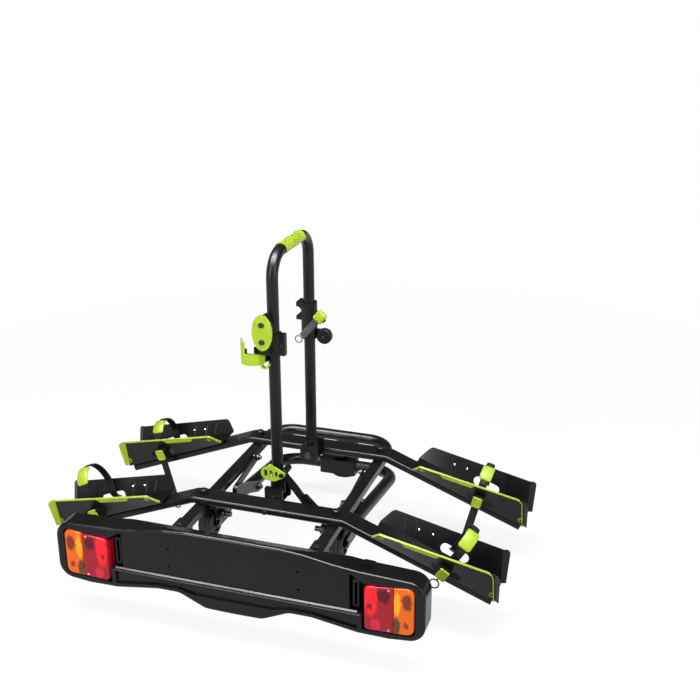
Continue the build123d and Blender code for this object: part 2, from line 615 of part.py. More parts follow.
def hinge_bracket(face_y, away):
    """Two plates and a shelf; face_y is the crossbar face, away is +1 or -1 along Y."""
    far_y = face_y + away * 2 * HOOP_OFFSET
    with BuildPart() as bracket:
        for low_y in (face_y, far_y - away * (HINGE_PLATE + 6)):
            with BuildSketch(side_view(max(low_y, low_y + away * HINGE_PLATE))):
                with Locations(((BRACKET_LEFT_X + BRACKET_RIGHT_X) / 2, (BRACKET_LOW_Z + BRACKET_HIGH_Z) / 2)):
                    RectangleRounded(BRACKET_RIGHT_X - BRACKET_LEFT_X, BRACKET_HIGH_Z - BRACKET_LOW_Z, 6)
            extrude(amount=HINGE_PLATE)
        shelf_mid = (face_y + far_y - away * 6) / 2
        with Locations(((BRACKET_LEFT_X + BRACKET_RIGHT_X) / 2, shelf_mid, BRACKET_LOW_Z + SHELF_THICK / 2)):
            Box(BRACKET_RIGHT_X - BRACKET_LEFT_X - 12, 2 * HOOP_OFFSET - 6, SHELF_THICK)
        with Locations((0, (face_y + far_y) / 2, HINGE_Z)):
            Cylinder(HINGE_PIN_R, 2 * HOOP_OFFSET + 4, rotation=(90, 0, 0), mode=Mode.SUBTRACT)
        with Locations((0, face_y, BAR_MID_Z)):
            Cylinder(3.1, 30, rotation=(90, 0, 0), mode=Mode.SUBTRACT)
    return bracket.part


REAR_FACE_Y = BAR_REAR_Y + BAR_WIDTH / 2
FRONT_FACE_Y = BAR_FRONT_Y - BAR_WIDTH / 2

# Hinge brackets: bolted to the facing sides of the crossbars
with BuildPart() as hinge_brackets:
    add(hinge_bracket(REAR_FACE_Y, 1))
    add(hinge_bracket(FRONT_FACE_Y, -1))

# Hinge pins of the hoop
with BuildPart() as hinge_pins:
    for face_y, away in ((REAR_FACE_Y, 1), (FRONT_FACE_Y, -1)):
        pin_long = 2 * HOOP_OFFSET - 6
        with Locations((0, face_y + away * (pin_long / 2 + 0.5), HINGE_Z)):
            Cylinder(HINGE_PIN_R, pin_long, rotation=(90, 0, 0))
        with Locations((0, face_y + away * (2 * HOOP_OFFSET - 6 + 2.5), HINGE_Z)):
            Cylinder(8.5, 5, rotation=(90, 0, 0))

# Hoop: inverted U of round tube
with BuildPart() as hoop_tube:
    with BuildLine(Plane.YZ) as hoop_line:
        FilletPolyline(
            (HOOP_REAR_Y, HOOP_FOOT_Z),
            (HOOP_REAR_Y, HOOP_TOP_Z),
            (HOOP_FRONT_Y, HOOP_TOP_Z),
            (HOOP_FRONT_Y, HOOP_FOOT_Z),
            radius=HOOP_BEND_R,
        )
    with BuildSketch(Plane(origin=hoop_line.line @ 0, z_dir=hoop_line.line % 0)):
        Circle(HOOP_R)
        Circle(HOOP_R - HOOP_WALL, mode=Mode.SUBTRACT)
    sweep()

# Feet of the hoop: a cup round each leg on a boss that turns on the hinge pin
with BuildPart() as hoop_feet:
    for leg_y, face_y, away in ((HOOP_REAR_Y, REAR_FACE_Y, 1), (HOOP_FRONT_Y, FRONT_FACE_Y, -1)):
        boss_low = face_y + away * (HINGE_PLATE + SIDE_GAP)
        boss_high = face_y + away * (2 * HOOP_OFFSET - HINGE_PLATE - 6 - SIDE_GAP)
        with Locations((0, (boss_low + boss_high) / 2, HINGE_Z)):
            Cylinder(HINGE_BOSS_R, abs(boss_high - boss_low), rotation=(90, 0, 0))
        with Locations((0, leg_y, (HINGE_Z + FOOT_CUP_TOP_Z) / 2)):
            Cylinder(FOOT_CUP_R, FOOT_CUP_TOP_Z - HINGE_Z)
        with Locations((0, leg_y, (HOOP_FOOT_Z + FOOT_CUP_TOP_Z) / 2)):
            Cylinder(HOOP_R, FOOT_CUP_TOP_Z - HOOP_FOOT_Z, mode=Mode.SUBTRACT)
        with Locations((0, (boss_low + boss_high) / 2, HINGE_Z)):
            Cylinder(HINGE_PIN_R + RUN_FIT, 80, rotation=(90, 0, 0), mode=Mode.SUBTRACT)

# Grip sleeve on the top of the hoop
with BuildPart() as hoop_grip:
    with Locations((0, (GRIP_REAR_Y + GRIP_FRONT_Y) / 2, HOOP_TOP_Z)):
        Cylinder(GRIP_R, GRIP_FRONT_Y - GRIP_REAR_Y, rotation=(90, 0, 0))
    fillet(hoop_grip.edges().filter_by(GeomType.CIRCLE), radius=1.5)
    with Locations((0, (GRIP_REAR_Y + GRIP_FRONT_Y) / 2, HOOP_TOP_Z)):
        Cylinder(HOOP_R, GRIP_FRONT_Y - GRIP_REAR_Y + 2, rotation=(90, 0, 0), mode=Mode.SUBTRACT)

# Hoop brace: bent strap from the right rail up to the rear leg
BRACE_HALF = 11.0
BRACE_THICK = 5.0
BRACE_EYE_X = 21.0
BRACE_EYE_Z = 203.0
LOCK_PIN_R = 3.0
with BuildPart() as hoop_brace:
    with BuildSketch(side_view(HOOP_REAR_Y + BRACE_HALF)) as brace_outline:
        with BuildLine():
            Polyline(
                (13.5, BRACE_EYE_Z),
                (13.5, 186),
                (38, 158),
                (64, 125),
                (98, 107),
                (RAIL_INNER_X, 107),
                (RAIL_INNER_X, 125),
                (RAIL_INNER_X - BRACE_THICK, 125),
                (RAIL_INNER_X - BRACE_THICK, 112),
                (99, 112),
                (67, 129),
                (42, 161.5),
                (18.5, 188.5),
                (18.5, BRACE_EYE_Z),
                close=True,
            )
        make_face()
        with Locations((BRACE_EYE_X, BRACE_EYE_Z)):
            Circle(7.5)
        with Locations((BRACE_EYE_X, BRACE_EYE_Z)):
            Circle(LOCK_PIN_R, mode=Mode.SUBTRACT)
    extrude(amount=2 * BRACE_HALF)
    with BuildSketch(side_view(HOOP_REAR_Y + 2)):
        Polygon((50, 146), (67, 128), (99, 111), (112, 111), (88, 128), (66, 150), align=None)
    extrude(amount=4)

# Lock pin and lime lock lever in front of the rear leg
LOCK_FRONT_Y = HOOP_REAR_Y - HOOP_R - 19.0
with BuildPart() as lock_pin:
    with Locations((BRACE_EYE_X, (HOOP_REAR_Y + BRACE_HALF + LOCK_FRONT_Y - 1) / 2, BRACE_EYE_Z)):
        Cylinder(LOCK_PIN_R, HOOP_REAR_Y + BRACE_HALF - LOCK_FRONT_Y + 1, rotation=(90, 0, 0))
    with Locations((BRACE_EYE_X, (HOOP_REAR_Y - BRACE_HALF + LOCK_FRONT_Y + 5 + SIDE_GAP) / 2, BRACE_EYE_Z)):
        Cylinder(5.5, HOOP_REAR_Y - BRACE_HALF - LOCK_FRONT_Y - 5 - SIDE_GAP, rotation=(90, 0, 0))
    with Locations((BRACE_EYE_X, LOCK_FRONT_Y - SIDE_GAP - 1.5, BRACE_EYE_Z)):
        Cylinder(5, 3, rotation=(90, 0, 0))

with BuildPart() as lock_lever:
    with BuildSketch(side_view(LOCK_FRONT_Y + 5)):
        with Locations((-3, BRACE_EYE_Z)):
            Ellipse(23, 17)
        with Locations((BRACE_EYE_X, BRACE_EYE_Z)):
            Circle(7)
        make_hull()
        with Locations((-4, BRACE_EYE_Z + 17)):
            Rectangle(9, 7)
        with Locations((-15, BRACE_EYE_Z), (-2.5, BRACE_EYE_Z)):
            SlotOverall(17, 8, rotation=90, mode=Mode.SUBTRACT)
        with Locations((9, BRACE_EYE_Z)):
            SlotOverall(13, 6, rotation=90, mode=Mode.SUBTRACT)
        with Locations((BRACE_EYE_X, BRACE_EYE_Z)):
            Circle(LOCK_PIN_R + RUN_FIT, mode=Mode.SUBTRACT)
    extrude(amount=5)

# Rear clamp: collar on the rear leg, open jaw, lime plate and lime cradle
CLAMP_FIT = 0.3
REAR_JAW_X = -39.5
REAR_JAW_Y = HOOP_REAR_Y - 16.0
REAR_JAW_R = 23.5
REAR_JAW_LOW = 450.0
REAR_COLLAR_LOW = 466.0
REAR_COLLAR_HIGH = 512.0
REAR_PLATE_X = -10.0
REAR_PLATE_Z = 523.5
REAR_PLATE_Y = HOOP_REAR_Y - 36.0
REAR_BOLTS = (504.0, 541.0)
with BuildPart() as rear_clamp_body:
    with BuildSketch(Plane.XY.offset(REAR_COLLAR_LOW)):
        with Locations((0, HOOP_REAR_Y)):
            Circle(17.5)
        with Locations((17, HOOP_REAR_Y)):
            RectangleRounded(19, 16, 3)
    extrude(amount=REAR_COLLAR_HIGH - REAR_COLLAR_LOW)
    with BuildSketch(side_view(HOOP_REAR_Y - 10)):
        with Locations((REAR_PLATE_X, REAR_PLATE_Z)):
            Ellipse(16, 34)
        with Locations((REAR_PLATE_X + 2, REAR_COLLAR_LOW + 18.5)):
            Rectangle(22, 20)
    extrude(amount=26)
    with BuildSketch(Plane.XY.offset(REAR_JAW_LOW + 2)):
        with Locations((REAR_JAW_X, REAR_JAW_Y)):
            Circle(REAR_JAW_R)
    extrude(amount=22)
    with BuildSketch(Plane.XY.offset(REAR_JAW_LOW + 2)):
        with Locations((-20, HOOP_REAR_Y - 8)):
            Rectangle(20, 16)
    extrude(amount=50)
    with Locations((REAR_JAW_X, REAR_JAW_Y, REAR_COLLAR_LOW)):
        Cylinder(REAR_JAW_R - 4.5, 200, mode=Mode.SUBTRACT)
        with Locations((-22, 22, 0)):
            Box(30, 30, 200, mode=Mode.SUBTRACT)
    with Locations((0, HOOP_REAR_Y, REAR_COLLAR_HIGH)):
        Cylinder(HOOP_R + CLAMP_FIT, 140, mode=Mode.SUBTRACT)
    with Locations((30, HOOP_REAR_Y, 489)):
        Box(34, 2, 60, mode=Mode.SUBTRACT)
    with Locations((20, HOOP_REAR_Y, 489)):
        Cylinder(3, 30, rotation=(90, 0, 0), mode=Mode.SUBTRACT)
    for bolt_z in REAR_BOLTS:
        with Locations((REAR_PLATE_X, REAR_PLATE_Y, bolt_z)):
            Cylinder(3.2, 24, rotation=(90, 0, 0), mode=Mode.SUBTRACT)

with BuildPart() as rear_clamp_plate:
    with BuildSketch(side_view(REAR_PLATE_Y)):
        with Locations((REAR_PLATE_X, REAR_PLATE_Z)):
            Ellipse(22, 38.5)
        for bolt_z in REAR_BOLTS:
            with Locations((REAR_PLATE_X, bolt_z)):
                Circle(3.2, mode=Mode.SUBTRACT)
    extrude(amount=4)

with BuildPart() as rear_clamp_bolts:
    for bolt_z in REAR_BOLTS:
        with Locations((REAR_PLATE_X, REAR_PLATE_Y, bolt_z)):
            Cylinder(3.2, 16, rotation=(90, 0, 0))
        with Locations((REAR_PLATE_X, REAR_PLATE_Y - 6, bolt_z)):
            Cylinder(5.5, 4, rotation=(90, 0, 0))
    with Locations((20, HOOP_REAR_Y, 489)):
        Cylinder(3, 22, rotation=(90, 0, 0))

with BuildPart() as rear_clamp_cradle:
    for low, tall, keep_x in ((REAR_JAW_LOW, 24, 60), (REAR_JAW_LOW + 22, 28, -10)):
        with BuildSketch(Plane.XY.offset(low)):
            with Locations((REAR_JAW_X, REAR_JAW_Y)):
                Circle(REAR_JAW_R + 3)
                Circle(REAR_JAW_R, mode=Mode.SUBTRACT)
            with Locations((REAR_JAW_X, REAR_JAW_Y + 13)):
                Rectangle(60, 30, mode=Mode.SUBTRACT)
            with Locations((REAR_JAW_X + keep_x + 30, REAR_JAW_Y)):
                Rectangle(60, 60, mode=Mode.SUBTRACT)
        extrude(amount=tall)
    with BuildSketch(side_view(REAR_JAW_Y - 6)):
        with Locations((-9.5, REAR_JAW_LOW + 1)):
            Circle(10)
            Circle(6.5, mode=Mode.SUBTRACT)
        with Locations((-9.5, REAR_JAW_LOW + 12.5)):
            Rectangle(24, 22, mode=Mode.SUBTRACT)
    extrude(amount=9)

# Front clamp: collar on the front leg, strap, lime buckle, bail and a turning knob
FRONT_CLAMP_FACE_Y = HOOP_FRONT_Y - 19.0
with BuildPart() as front_clamp_body:
    with BuildSketch(Plane.XY.offset(430)):
        with Locations((0, HOOP_FRONT_Y)):
            Circle(18)
    extrude(amount=84)
    with BuildSketch(Plane.XY.offset(473)):
        with Locations((-19, HOOP_FRONT_Y + 4)):
            Rectangle(16, 30)
    extrude(amount=41)
    with BuildSketch(Plane.XY.offset(430)):
        with Locations((29, HOOP_FRONT_Y + 9)):
            Rectangle(32, 10)
    extrude(amount=18)
    with Locations((37, HOOP_FRONT_Y + 2, 438)):
        Cylinder(3, 40, rotation=(90, 0, 0), mode=Mode.SUBTRACT)
    with Locations((0, HOOP_FRONT_Y, 472)):
        Cylinder(HOOP_R + CLAMP_FIT, 120, mode=Mode.SUBTRACT)
    with Locations((-26, HOOP_FRONT_Y + 4, 493)):
        Cylinder(11, 60, rotation=(90, 0, 0), mode=Mode.SUBTRACT)
    with Locations((0, FRONT_CLAMP_FACE_Y - 4, 472)):
        Box(40, 10, 100, mode=Mode.SUBTRACT)

FRONT_STRAP_TURN = -degrees(atan(60.0 / 52.0))
with BuildPart() as front_clamp_strap:
    with Locations((15, FRONT_CLAMP_FACE_Y - 0.3, 467)):
        Box(80, 2.6, 17, rotation=(0, FRONT_STRAP_TURN, 0))
    with Locations(Location((-19, FRONT_CLAMP_FACE_Y - 0.3, 430), (90, 0, 0))):
        Torus(8, 1.6)

with BuildPart() as front_clamp_buckle:
    with Locations((34, FRONT_CLAMP_FACE_Y - 6.1, 489)):
        Box(28, 9, 26, rotation=(0, FRONT_STRAP_TURN, 0))

with BuildPart() as front_clamp_knob:
    with Locations((37, HOOP_FRONT_Y - 4, 438)):
        Cylinder(17.5, 15, rotation=(90, 0, 0))
    fillet(front_clamp_knob.edges().filter_by(GeomType.CIRCLE), radius=3)
    with Locations((37, HOOP_FRONT_Y - 4, 438)):
        Cylinder(3 + RUN_FIT, 20, rotation=(90, 0, 0), mode=Mode.SUBTRACT)

with BuildPart() as front_clamp_stud:
    with Locations((37, HOOP_FRONT_Y + 2, 438)):
        Cylinder(3, 32, rotation=(90, 0, 0))


def tray_outline_points():
    """Side outline of the right-hand tray."""
    return (
        (TRAY_IN_X, wing_top(TRAY_IN_X) + 1),
        (TRAY_IN_X, wing_top(TRAY_IN_X) + TRAY_LIFT + 3),
        (TRAY_KINK_X, TRAY_KINK_Z),
        (TRAY_END_X, TRAY_END_Z),
        (TRAY_END_X, wing_top(TRAY_END_X) + 1),
    )


def flare(side, inner_reach, outer_reach):
    """Flared rim of one tray wall; side is +1 for the far wall, the reaches run inwards and outwards."""
    foot_rise = 4.0
    foot = Vector(TRAY_END_X, side * (TRAY_FLOOR_HALF + foot_rise * tray_lean(TRAY_END_X)),
                  wing_top(TRAY_END_X) + TRAY_LIFT + foot_rise)
    head = Vector(TRAY_END_X, side * tray_half(TRAY_END_X), TRAY_END_Z)
    along = (head - foot).normalized()
    spread = Vector(cos(radians(FLARE_ANGLE)), side * sin(radians(FLARE_ANGLE)), 0)
    outwards = along.cross(spread) * side
    with BuildPart() as rim:
        with BuildSketch(Plane(origin=foot, x_dir=along, z_dir=outwards).offset(-inner_reach)) as rim_outline:
            Polygon(
                (0, -side * FLARE_ROOT),
                ((head - foot).length, -side * FLARE_ROOT),
                ((head - foot).length, side * FLARE_WIDTH),
                (0, side * FLARE_FOOT),
                align=None,
            )
            reach = along + spread
            outer_corner = max(rim_outline.vertices(), key=lambda v: (Vector(v.X, v.Y, v.Z) - foot).dot(reach))
            fillet(outer_corner, radius=9)
        extrude(amount=inner_reach + outer_reach)
    return rim.part


def tray_shell():
    """The right-hand tray about Y = 0."""
    with BuildPart() as hollow:
        add(trough(-TRAY_WALL, 1.6))
        with BuildSketch(side_view(100)):
            Polygon(
                (TRAY_IN_X - 10, wing_top(TRAY_IN_X - 10) + TRAY_LIFT + TRAY_WALL),
                (TRAY_END_X + 10, wing_top(TRAY_END_X + 10) + TRAY_LIFT + TRAY_WALL),
                (TRAY_END_X + 10, 2 * BAR_TOP_Z),
                (TRAY_IN_X - 10, 2 * BAR_TOP_Z),
                align=None,
            )
        extrude(amount=200, mode=Mode.INTERSECT)
    with BuildPart() as shell:
        add(trough(0, 1))
        add(hollow.part, mode=Mode.SUBTRACT)
        with BuildSketch(side_view(100)) as tray_side:
            Polygon(*tray_outline_points(), align=None)
            fillet(tray_side.vertices().sort_by(Axis.Y)[-1], radius=TRAY_ROUND_R)
        extrude(amount=200, mode=Mode.INTERSECT)
        for side in (-1, 1):
            for place in TRAY_RIBS:
                rib_x = TRAY_KINK_X + place
                mid_y = side * (tray_half(rib_x) + TRAY_FLOOR_HALF) / 2
                mid_z = (tray_edge(rib_x) + wing_top(rib_x) + TRAY_LIFT) / 2
                with Locations((rib_x, mid_y - side * (TRAY_WALL + 0.3), mid_z)):
                    Box(2.4, 2.4, 0.6 * (tray_edge(rib_x) - wing_top(rib_x)),
                        rotation=(-side * degrees(atan(tray_lean(rib_x))), 0, 0))
        with BuildSketch(side_view(100)):
            with Locations((CUTOUT_X, wing_top(CUTOUT_X) + CUTOUT_RISE)):
                SlotOverall(CUTOUT_LONG, CUTOUT_HIGH, rotation=-WING_ANGLE)
        extrude(amount=200, mode=Mode.SUBTRACT)
        with BuildSketch(side_view(100)):
            for place in TRIM_HOLES:
                with Locations((TRAY_KINK_X + place, tray_edge(TRAY_KINK_X + place) - TRIM_HOLE_DROP)):
                    Circle(TRIM_HOLE_R)
        extrude(amount=100, mode=Mode.SUBTRACT)
        for place in PAD_PLACES:
            pad_x = TRAY_KINK_X + place
            with Locations((pad_x, 0, wing_top(pad_x) + (TRAY_LIFT + 0.4) / 2)):
                Box(46, 44, TRAY_LIFT * cos(radians(WING_ANGLE)) + 0.2, rotation=(0, WING_ANGLE, 0))
        for side in (-1, 1):
            add(flare(side, TRAY_WALL, 0))
    return shell.part


tray_right = tray_shell()

# Trays: one moulded trough on every wing
with BuildPart() as tray_front_right:
    with Locations((0, BAR_FRONT_Y, 0)):
        add(tray_right)

with BuildPart() as tray_front_left:
    mirror(tray_front_right.part, about=Plane.YZ)

with BuildPart() as tray_rear_right:
    with Locations((0, BAR_REAR_Y, 0)):
        add(tray_right)

with BuildPart() as tray_rear_left:
    mirror(tray_rear_right.part, about=Plane.YZ)


def tray_trim():
    """The trim on the rear wall of the right-hand tray about Y = 0."""
    eyelet_z = wing_top(TRAY_END_X) + 23.0
    with BuildPart() as cover:
        add(flare(-1, 0, TRIM_THICK))
        add(trough(0, 1.6), mode=Mode.SUBTRACT)
    with BuildPart() as strip:
        add(trough(TRIM_THICK, 1.2))
        add(trough(0, 1), mode=Mode.SUBTRACT)
        add(trough(-TRAY_WALL, 1.6), mode=Mode.SUBTRACT)
        with BuildSketch(side_view(-10)):
            Polygon(
                (TRAY_IN_X + 2, wing_top(TRAY_IN_X) + TRAY_LIFT + 5),
                (TRAY_KINK_X + 1, TRAY_KINK_Z + TRIM_OVER),
                (TRAY_END_X, TRAY_END_Z + TRIM_OVER),
                (TRAY_END_X, TRAY_END_Z - TRIM_DEEP),
                (TRIM_BAND_OUT_X + 8, tray_edge(TRIM_BAND_OUT_X + 8) - TRIM_DEEP),
                (TRIM_BAND_OUT_X, tray_edge(TRIM_BAND_OUT_X) - TRIM_BAND_DEEP),
                (TRIM_BAND_IN_X + 8, tray_edge(TRIM_BAND_IN_X + 8) - TRIM_BAND_DEEP),
                (TRIM_BAND_IN_X, tray_edge(TRIM_BAND_IN_X) - TRIM_DEEP),
                (TRAY_KINK_X + 2, TRAY_KINK_Z - TRIM_DEEP),
                (TRAY_IN_X + 6, wing_top(TRAY_IN_X) + TRAY_LIFT + 2),
                align=None,
            )
            with Locations((TRAY_KINK_X + 9, tray_edge(TRAY_KINK_X + 9) - 8), (TRAY_END_X - 9, eyelet_z)):
                Circle(EYELET_R)
                Circle(EYELET_HOLE_R, mode=Mode.SUBTRACT)
            with Locations((TRAY_END_X - 2.5, eyelet_z)):
                Rectangle(6, 7)
        extrude(amount=90, mode=Mode.INTERSECT)
        with BuildSketch(side_view(100)) as end_cut:
            Polygon(*tray_outline_points(), align=None)
            fillet(end_cut.vertices().sort_by(Axis.Y)[-1], radius=TRAY_ROUND_R)
            offset(amount=TRIM_OVER)
        extrude(amount=200, mode=Mode.INTERSECT)
        add(cover.part)
        add(flare(-1, TRAY_WALL, 0), mode=Mode.SUBTRACT)
    return strip.part


trim_right = tray_trim()

# Lime trim along the rear wall of every tray
with BuildPart() as tray_trims:
    with Locations((0, BAR_FRONT_Y, 0), (0, BAR_REAR_Y, 0)):
        add(trim_right)
    mirror(about=Plane.YZ)


def across(*points):
    """Points of the board, given as shares of its half width and heights."""
    return [(share * BOARD_HALF, height) for share, height in points]


def lamp_slice(low_x, high_x, grow):
    """Corner points of a slice of the right-hand lamp; grow widens it upwards and downwards."""
    return (
        (low_x, LAMP_LOW_Z + (low_x - LAMP_IN_X) * LAMP_LOW_RISE - grow),
        (high_x, LAMP_LOW_Z + (high_x - LAMP_IN_X) * LAMP_LOW_RISE - grow),
        (high_x, LAMP_HIGH_Z + (high_x - LAMP_IN_X) * LAMP_HIGH_RISE + grow),
        (low_x, LAMP_HIGH_Z + (low_x - LAMP_IN_X) * LAMP_HIGH_RISE + grow),
    )


def board_outline():
    """The rounded outline of the whole board, seen from the rear."""
    right = across(*BOARD_TOP, *BOARD_BOTTOM)
    with BuildSketch() as outline:
        with BuildLine():
            Polyline(*right, *[(-x, z) for x, z in reversed(right) if x > 0], close=True)
        make_face()
        corners = [v for v in outline.vertices() if abs(v.X) > BOARD_HALF - 1]
        fillet(corners, radius=BOARD_CORNER_R)
        bends = [v for v in outline.vertices() if 1 < abs(v.X) < BOARD_HALF - 1.5 * BOARD_CORNER_R]
        fillet(bends, radius=BOARD_BEND_R)
    return outline.sketch


LAMP_SIDE_X = LAMP_OUT_X + LAMP_GAP
LAMP_WINDOW = lamp_slice(LAMP_IN_X - LAMP_GAP, LAMP_SIDE_X, LAMP_GAP)
GROOVE_FOOT = (GROOVE_OUT * BOARD_HALF, LAMP_WINDOW[0][1])

# Light board: rear body with pockets for the lamps, its top falls towards the car
with BuildPart() as board_housing:
    with BuildSketch(side_view(BOARD_BACK_Y)):
        add(board_outline())
    extrude(amount=BOARD_BACK_Y - BEZEL_BACK_Y)
    with BuildSketch(end_view(-BOARD_HALF - 1)):
        Polygon(
            (BEZEL_BACK_Y - 1, BOARD_TOP[0][1]),
            (BEZEL_BACK_Y, BOARD_TOP[0][1] - 1),
            (BOARD_BACK_Y + 1, BOARD_TOP[0][1] - 1 - BOARD_SLOPE * (BOARD_BACK_Y - BEZEL_BACK_Y + 1)),
            (BOARD_BACK_Y + 1, BOARD_TOP[0][1] + 9),
            (BEZEL_BACK_Y - 1, BOARD_TOP[0][1] + 9),
            align=None,
        )
    extrude(amount=2 * BOARD_HALF + 2, mode=Mode.SUBTRACT)
    with BuildSketch(side_view(BOARD_BACK_Y - 3)) as hump_outline:
        Polygon(*across(*HUMP_OUTLINE), align=None)
        fillet(hump_outline.vertices().sort_by(Axis.Y)[-2:], radius=4)
    extrude(amount=20)
    with BuildSketch(side_view(BEZEL_BACK_Y + LAMP_POCKET)):
        Polygon(
            (GROOVE_IN * BOARD_HALF, LEDGE_Z),
            (GROOVE_FOOT[0], LEDGE_Z - 2),
            GROOVE_FOOT,
            *LAMP_WINDOW[1:3],
            *across(*reversed(WINDOW_TOP[-2:])),
            (GROOVE_IN * BOARD_HALF, WINDOW_TOP[-2][1]),
            align=None,
        )
        mirror(about=Plane.YZ)
    extrude(amount=LAMP_POCKET + 1, mode=Mode.SUBTRACT)
    with BuildSketch(side_view(BOARD_BACK_Y + 1)):
        for pocket_x, pocket_z, pocket_wide, pocket_high in BACK_POCKETS:
            with Locations((pocket_x, pocket_z)):
                Rectangle(pocket_wide, pocket_high)
    extrude(amount=BACK_POCKET_DEEP, mode=Mode.SUBTRACT)
    with BuildSketch(side_view(BEZEL_BACK_Y + 14)):
        with Locations((0, PLATE_MID_Z)):
            with GridLocations(PLATE_HOLE_X, PLATE_HOLE_Z, 2, 2):
                Circle(PLATE_HOLE_R)
    extrude(amount=14, mode=Mode.SUBTRACT)
    with BuildSketch(side_view(BOARD_BACK_Y + 1)):
        with Locations((GLAND_X, GLAND_Z)):
            Circle(6)
    extrude(amount=20, mode=Mode.SUBTRACT)

# Bezel: the front frame of the board with a long window, a ledge, a cove and the lower lobe
with BuildPart() as board_bezel:
    with BuildSketch(side_view(BEZEL_BACK_Y)):
        add(board_outline())
    extrude(amount=BEZEL_DEEP)
    fillet(board_bezel.edges().group_by(Axis.Y)[0], radius=BOARD_EDGE_R)
    with BuildSketch(side_view(BEZEL_BACK_Y + 1)) as window_outline:
        Polygon(
            (0, LEDGE_Z),
            (GROOVE_FOOT[0], LEDGE_Z - 2),
            GROOVE_FOOT,
            *LAMP_WINDOW[1:3],
            *across(*reversed(WINDOW_TOP)),
            align=None,
        )
        fillet(window_outline.vertices().sort_by(Axis.X)[-2:], radius=12)
        mirror(about=Plane.YZ)
    extrude(amount=BEZEL_DEEP + 2, mode=Mode.SUBTRACT)
    with BuildSketch(side_view(BOARD_FRONT_Y + COVE_DEEP)) as cove_outline:
        Polygon(
            (0, COVE_TOP_Z),
            (COVE_BOTTOM[0][0] * BOARD_HALF, COVE_TOP_Z - 2),
            *across(*COVE_BOTTOM),
            align=None,
        )
        mirror(about=Plane.YZ)
    extrude(amount=COVE_DEEP + 1, mode=Mode.SUBTRACT)

# Plate panel: seated on the rear body inside the window of the bezel
with BuildPart() as plate_panel:
    with BuildSketch(side_view(BEZEL_BACK_Y)):
        Polygon(
            (0, LEDGE_Z + PANEL_GAP),
            (GROOVE_IN * BOARD_HALF, LEDGE_Z + PANEL_GAP),
            (GROOVE_IN * BOARD_HALF, WINDOW_TOP[-2][1] - 2 * PANEL_GAP),
            *across(*[(share, height - PANEL_GAP) for share, height in reversed(WINDOW_TOP[:-2])]),
            align=None,
        )
        mirror(about=Plane.YZ)
        with Locations((0, PLATE_MID_Z)):
            with GridLocations(PLATE_HOLE_X, PLATE_HOLE_Z, 2, 2):
                Circle(PLATE_HOLE_R, mode=Mode.SUBTRACT)
    extrude(amount=PANEL_THICK)

# Channel posts in the grooves between the plate panel and the lamps
POST_X = (GROOVE_IN * BOARD_HALF + LAMP_IN_X) / 2 - 4.0
with BuildPart() as plate_channels:
    with BuildSketch(side_view(BEZEL_BACK_Y + LAMP_POCKET)):
        with Locations((POST_X, 91)):
            RectangleRounded(POST_WIDTH, 62, 3)
        with Locations((POST_X, 91)):
            SlotOverall(50, 5, rotation=90, mode=Mode.SUBTRACT)
        mirror(about=Plane.YZ)
    extrude(amount=LAMP_POCKET - 2)

# Lamps: case, red lens and amber lens on each side
LENS_BACK_Y = BOARD_FRONT_Y + 6
with BuildPart() as lamp_cases:
    with BuildSketch(side_view(BEZEL_BACK_Y + LAMP_POCKET)) as case_outline:
        Polygon(*lamp_slice(LAMP_IN_X, LAMP_OUT_X, 0), align=None)
        fillet(case_outline.vertices(), radius=9)
    extrude(amount=BEZEL_BACK_Y + LAMP_POCKET - LENS_BACK_Y)
    with BuildSketch(side_view(BEZEL_BACK_Y + LAMP_POCKET - LAMP_CASE_WALL)) as case_hollow:
        Polygon(*lamp_slice(LAMP_IN_X + LAMP_CASE_WALL, LAMP_OUT_X - LAMP_CASE_WALL, -LAMP_CASE_WALL), align=None)
        fillet(case_hollow.vertices(), radius=6)
    extrude(amount=LAMP_POCKET + LENS_THICK, mode=Mode.SUBTRACT)
    mirror(about=Plane.YZ)

with BuildPart() as red_lenses:
    with BuildSketch(side_view(LENS_BACK_Y)) as red_outline:
        Polygon(*lamp_slice(LAMP_IN_X, LAMP_SPLIT_X, 0), align=None)
        fillet(red_outline.vertices().sort_by(Axis.X)[:2], radius=9)
    extrude(amount=LENS_THICK)
    mirror(about=Plane.YZ)

with BuildPart() as amber_lenses:
    with BuildSketch(side_view(LENS_BACK_Y)) as amber_outline:
        Polygon(*lamp_slice(LAMP_SPLIT_X, LAMP_OUT_X, 0), align=None)
        fillet(amber_outline.vertices().sort_by(Axis.X)[-2:], radius=13)
    extrude(amount=LENS_THICK)
    mirror(about=Plane.YZ)

# Sleeves on the back of the board that slide over the rail ends
with BuildPart() as board_sleeves:
    with BuildSketch(side_view(SLEEVE_FRONT_Y)):
        with Locations((RAIL_X, RAIL_MID_Z)):
            RectangleRounded(RAIL_WIDTH + 6, RAIL_HEIGHT + 6, 4)
    extrude(amount=SLEEVE_FRONT_Y - BOARD_BACK_Y)
    with BuildSketch(side_view(SLEEVE_FRONT_Y)):
        with Locations((RAIL_X, RAIL_MID_Z)):
            RectangleRounded(RAIL_WIDTH, RAIL_HEIGHT, RAIL_CORNER_R)
    extrude(amount=SLEEVE_FRONT_Y - RAIL_REAR_Y, mode=Mode.SUBTRACT)
    with BuildSketch(side_view(BOARD_BACK_Y + 4)):
        with Locations((RAIL_X, RAIL_MID_Z)):
            RectangleRounded(RAIL_WIDTH + 33, RAIL_HEIGHT + 24, 5)
            RectangleRounded(RAIL_WIDTH + 4, RAIL_HEIGHT + 4, 3, mode=Mode.SUBTRACT)
    extrude(amount=4)
    mirror(about=Plane.YZ)

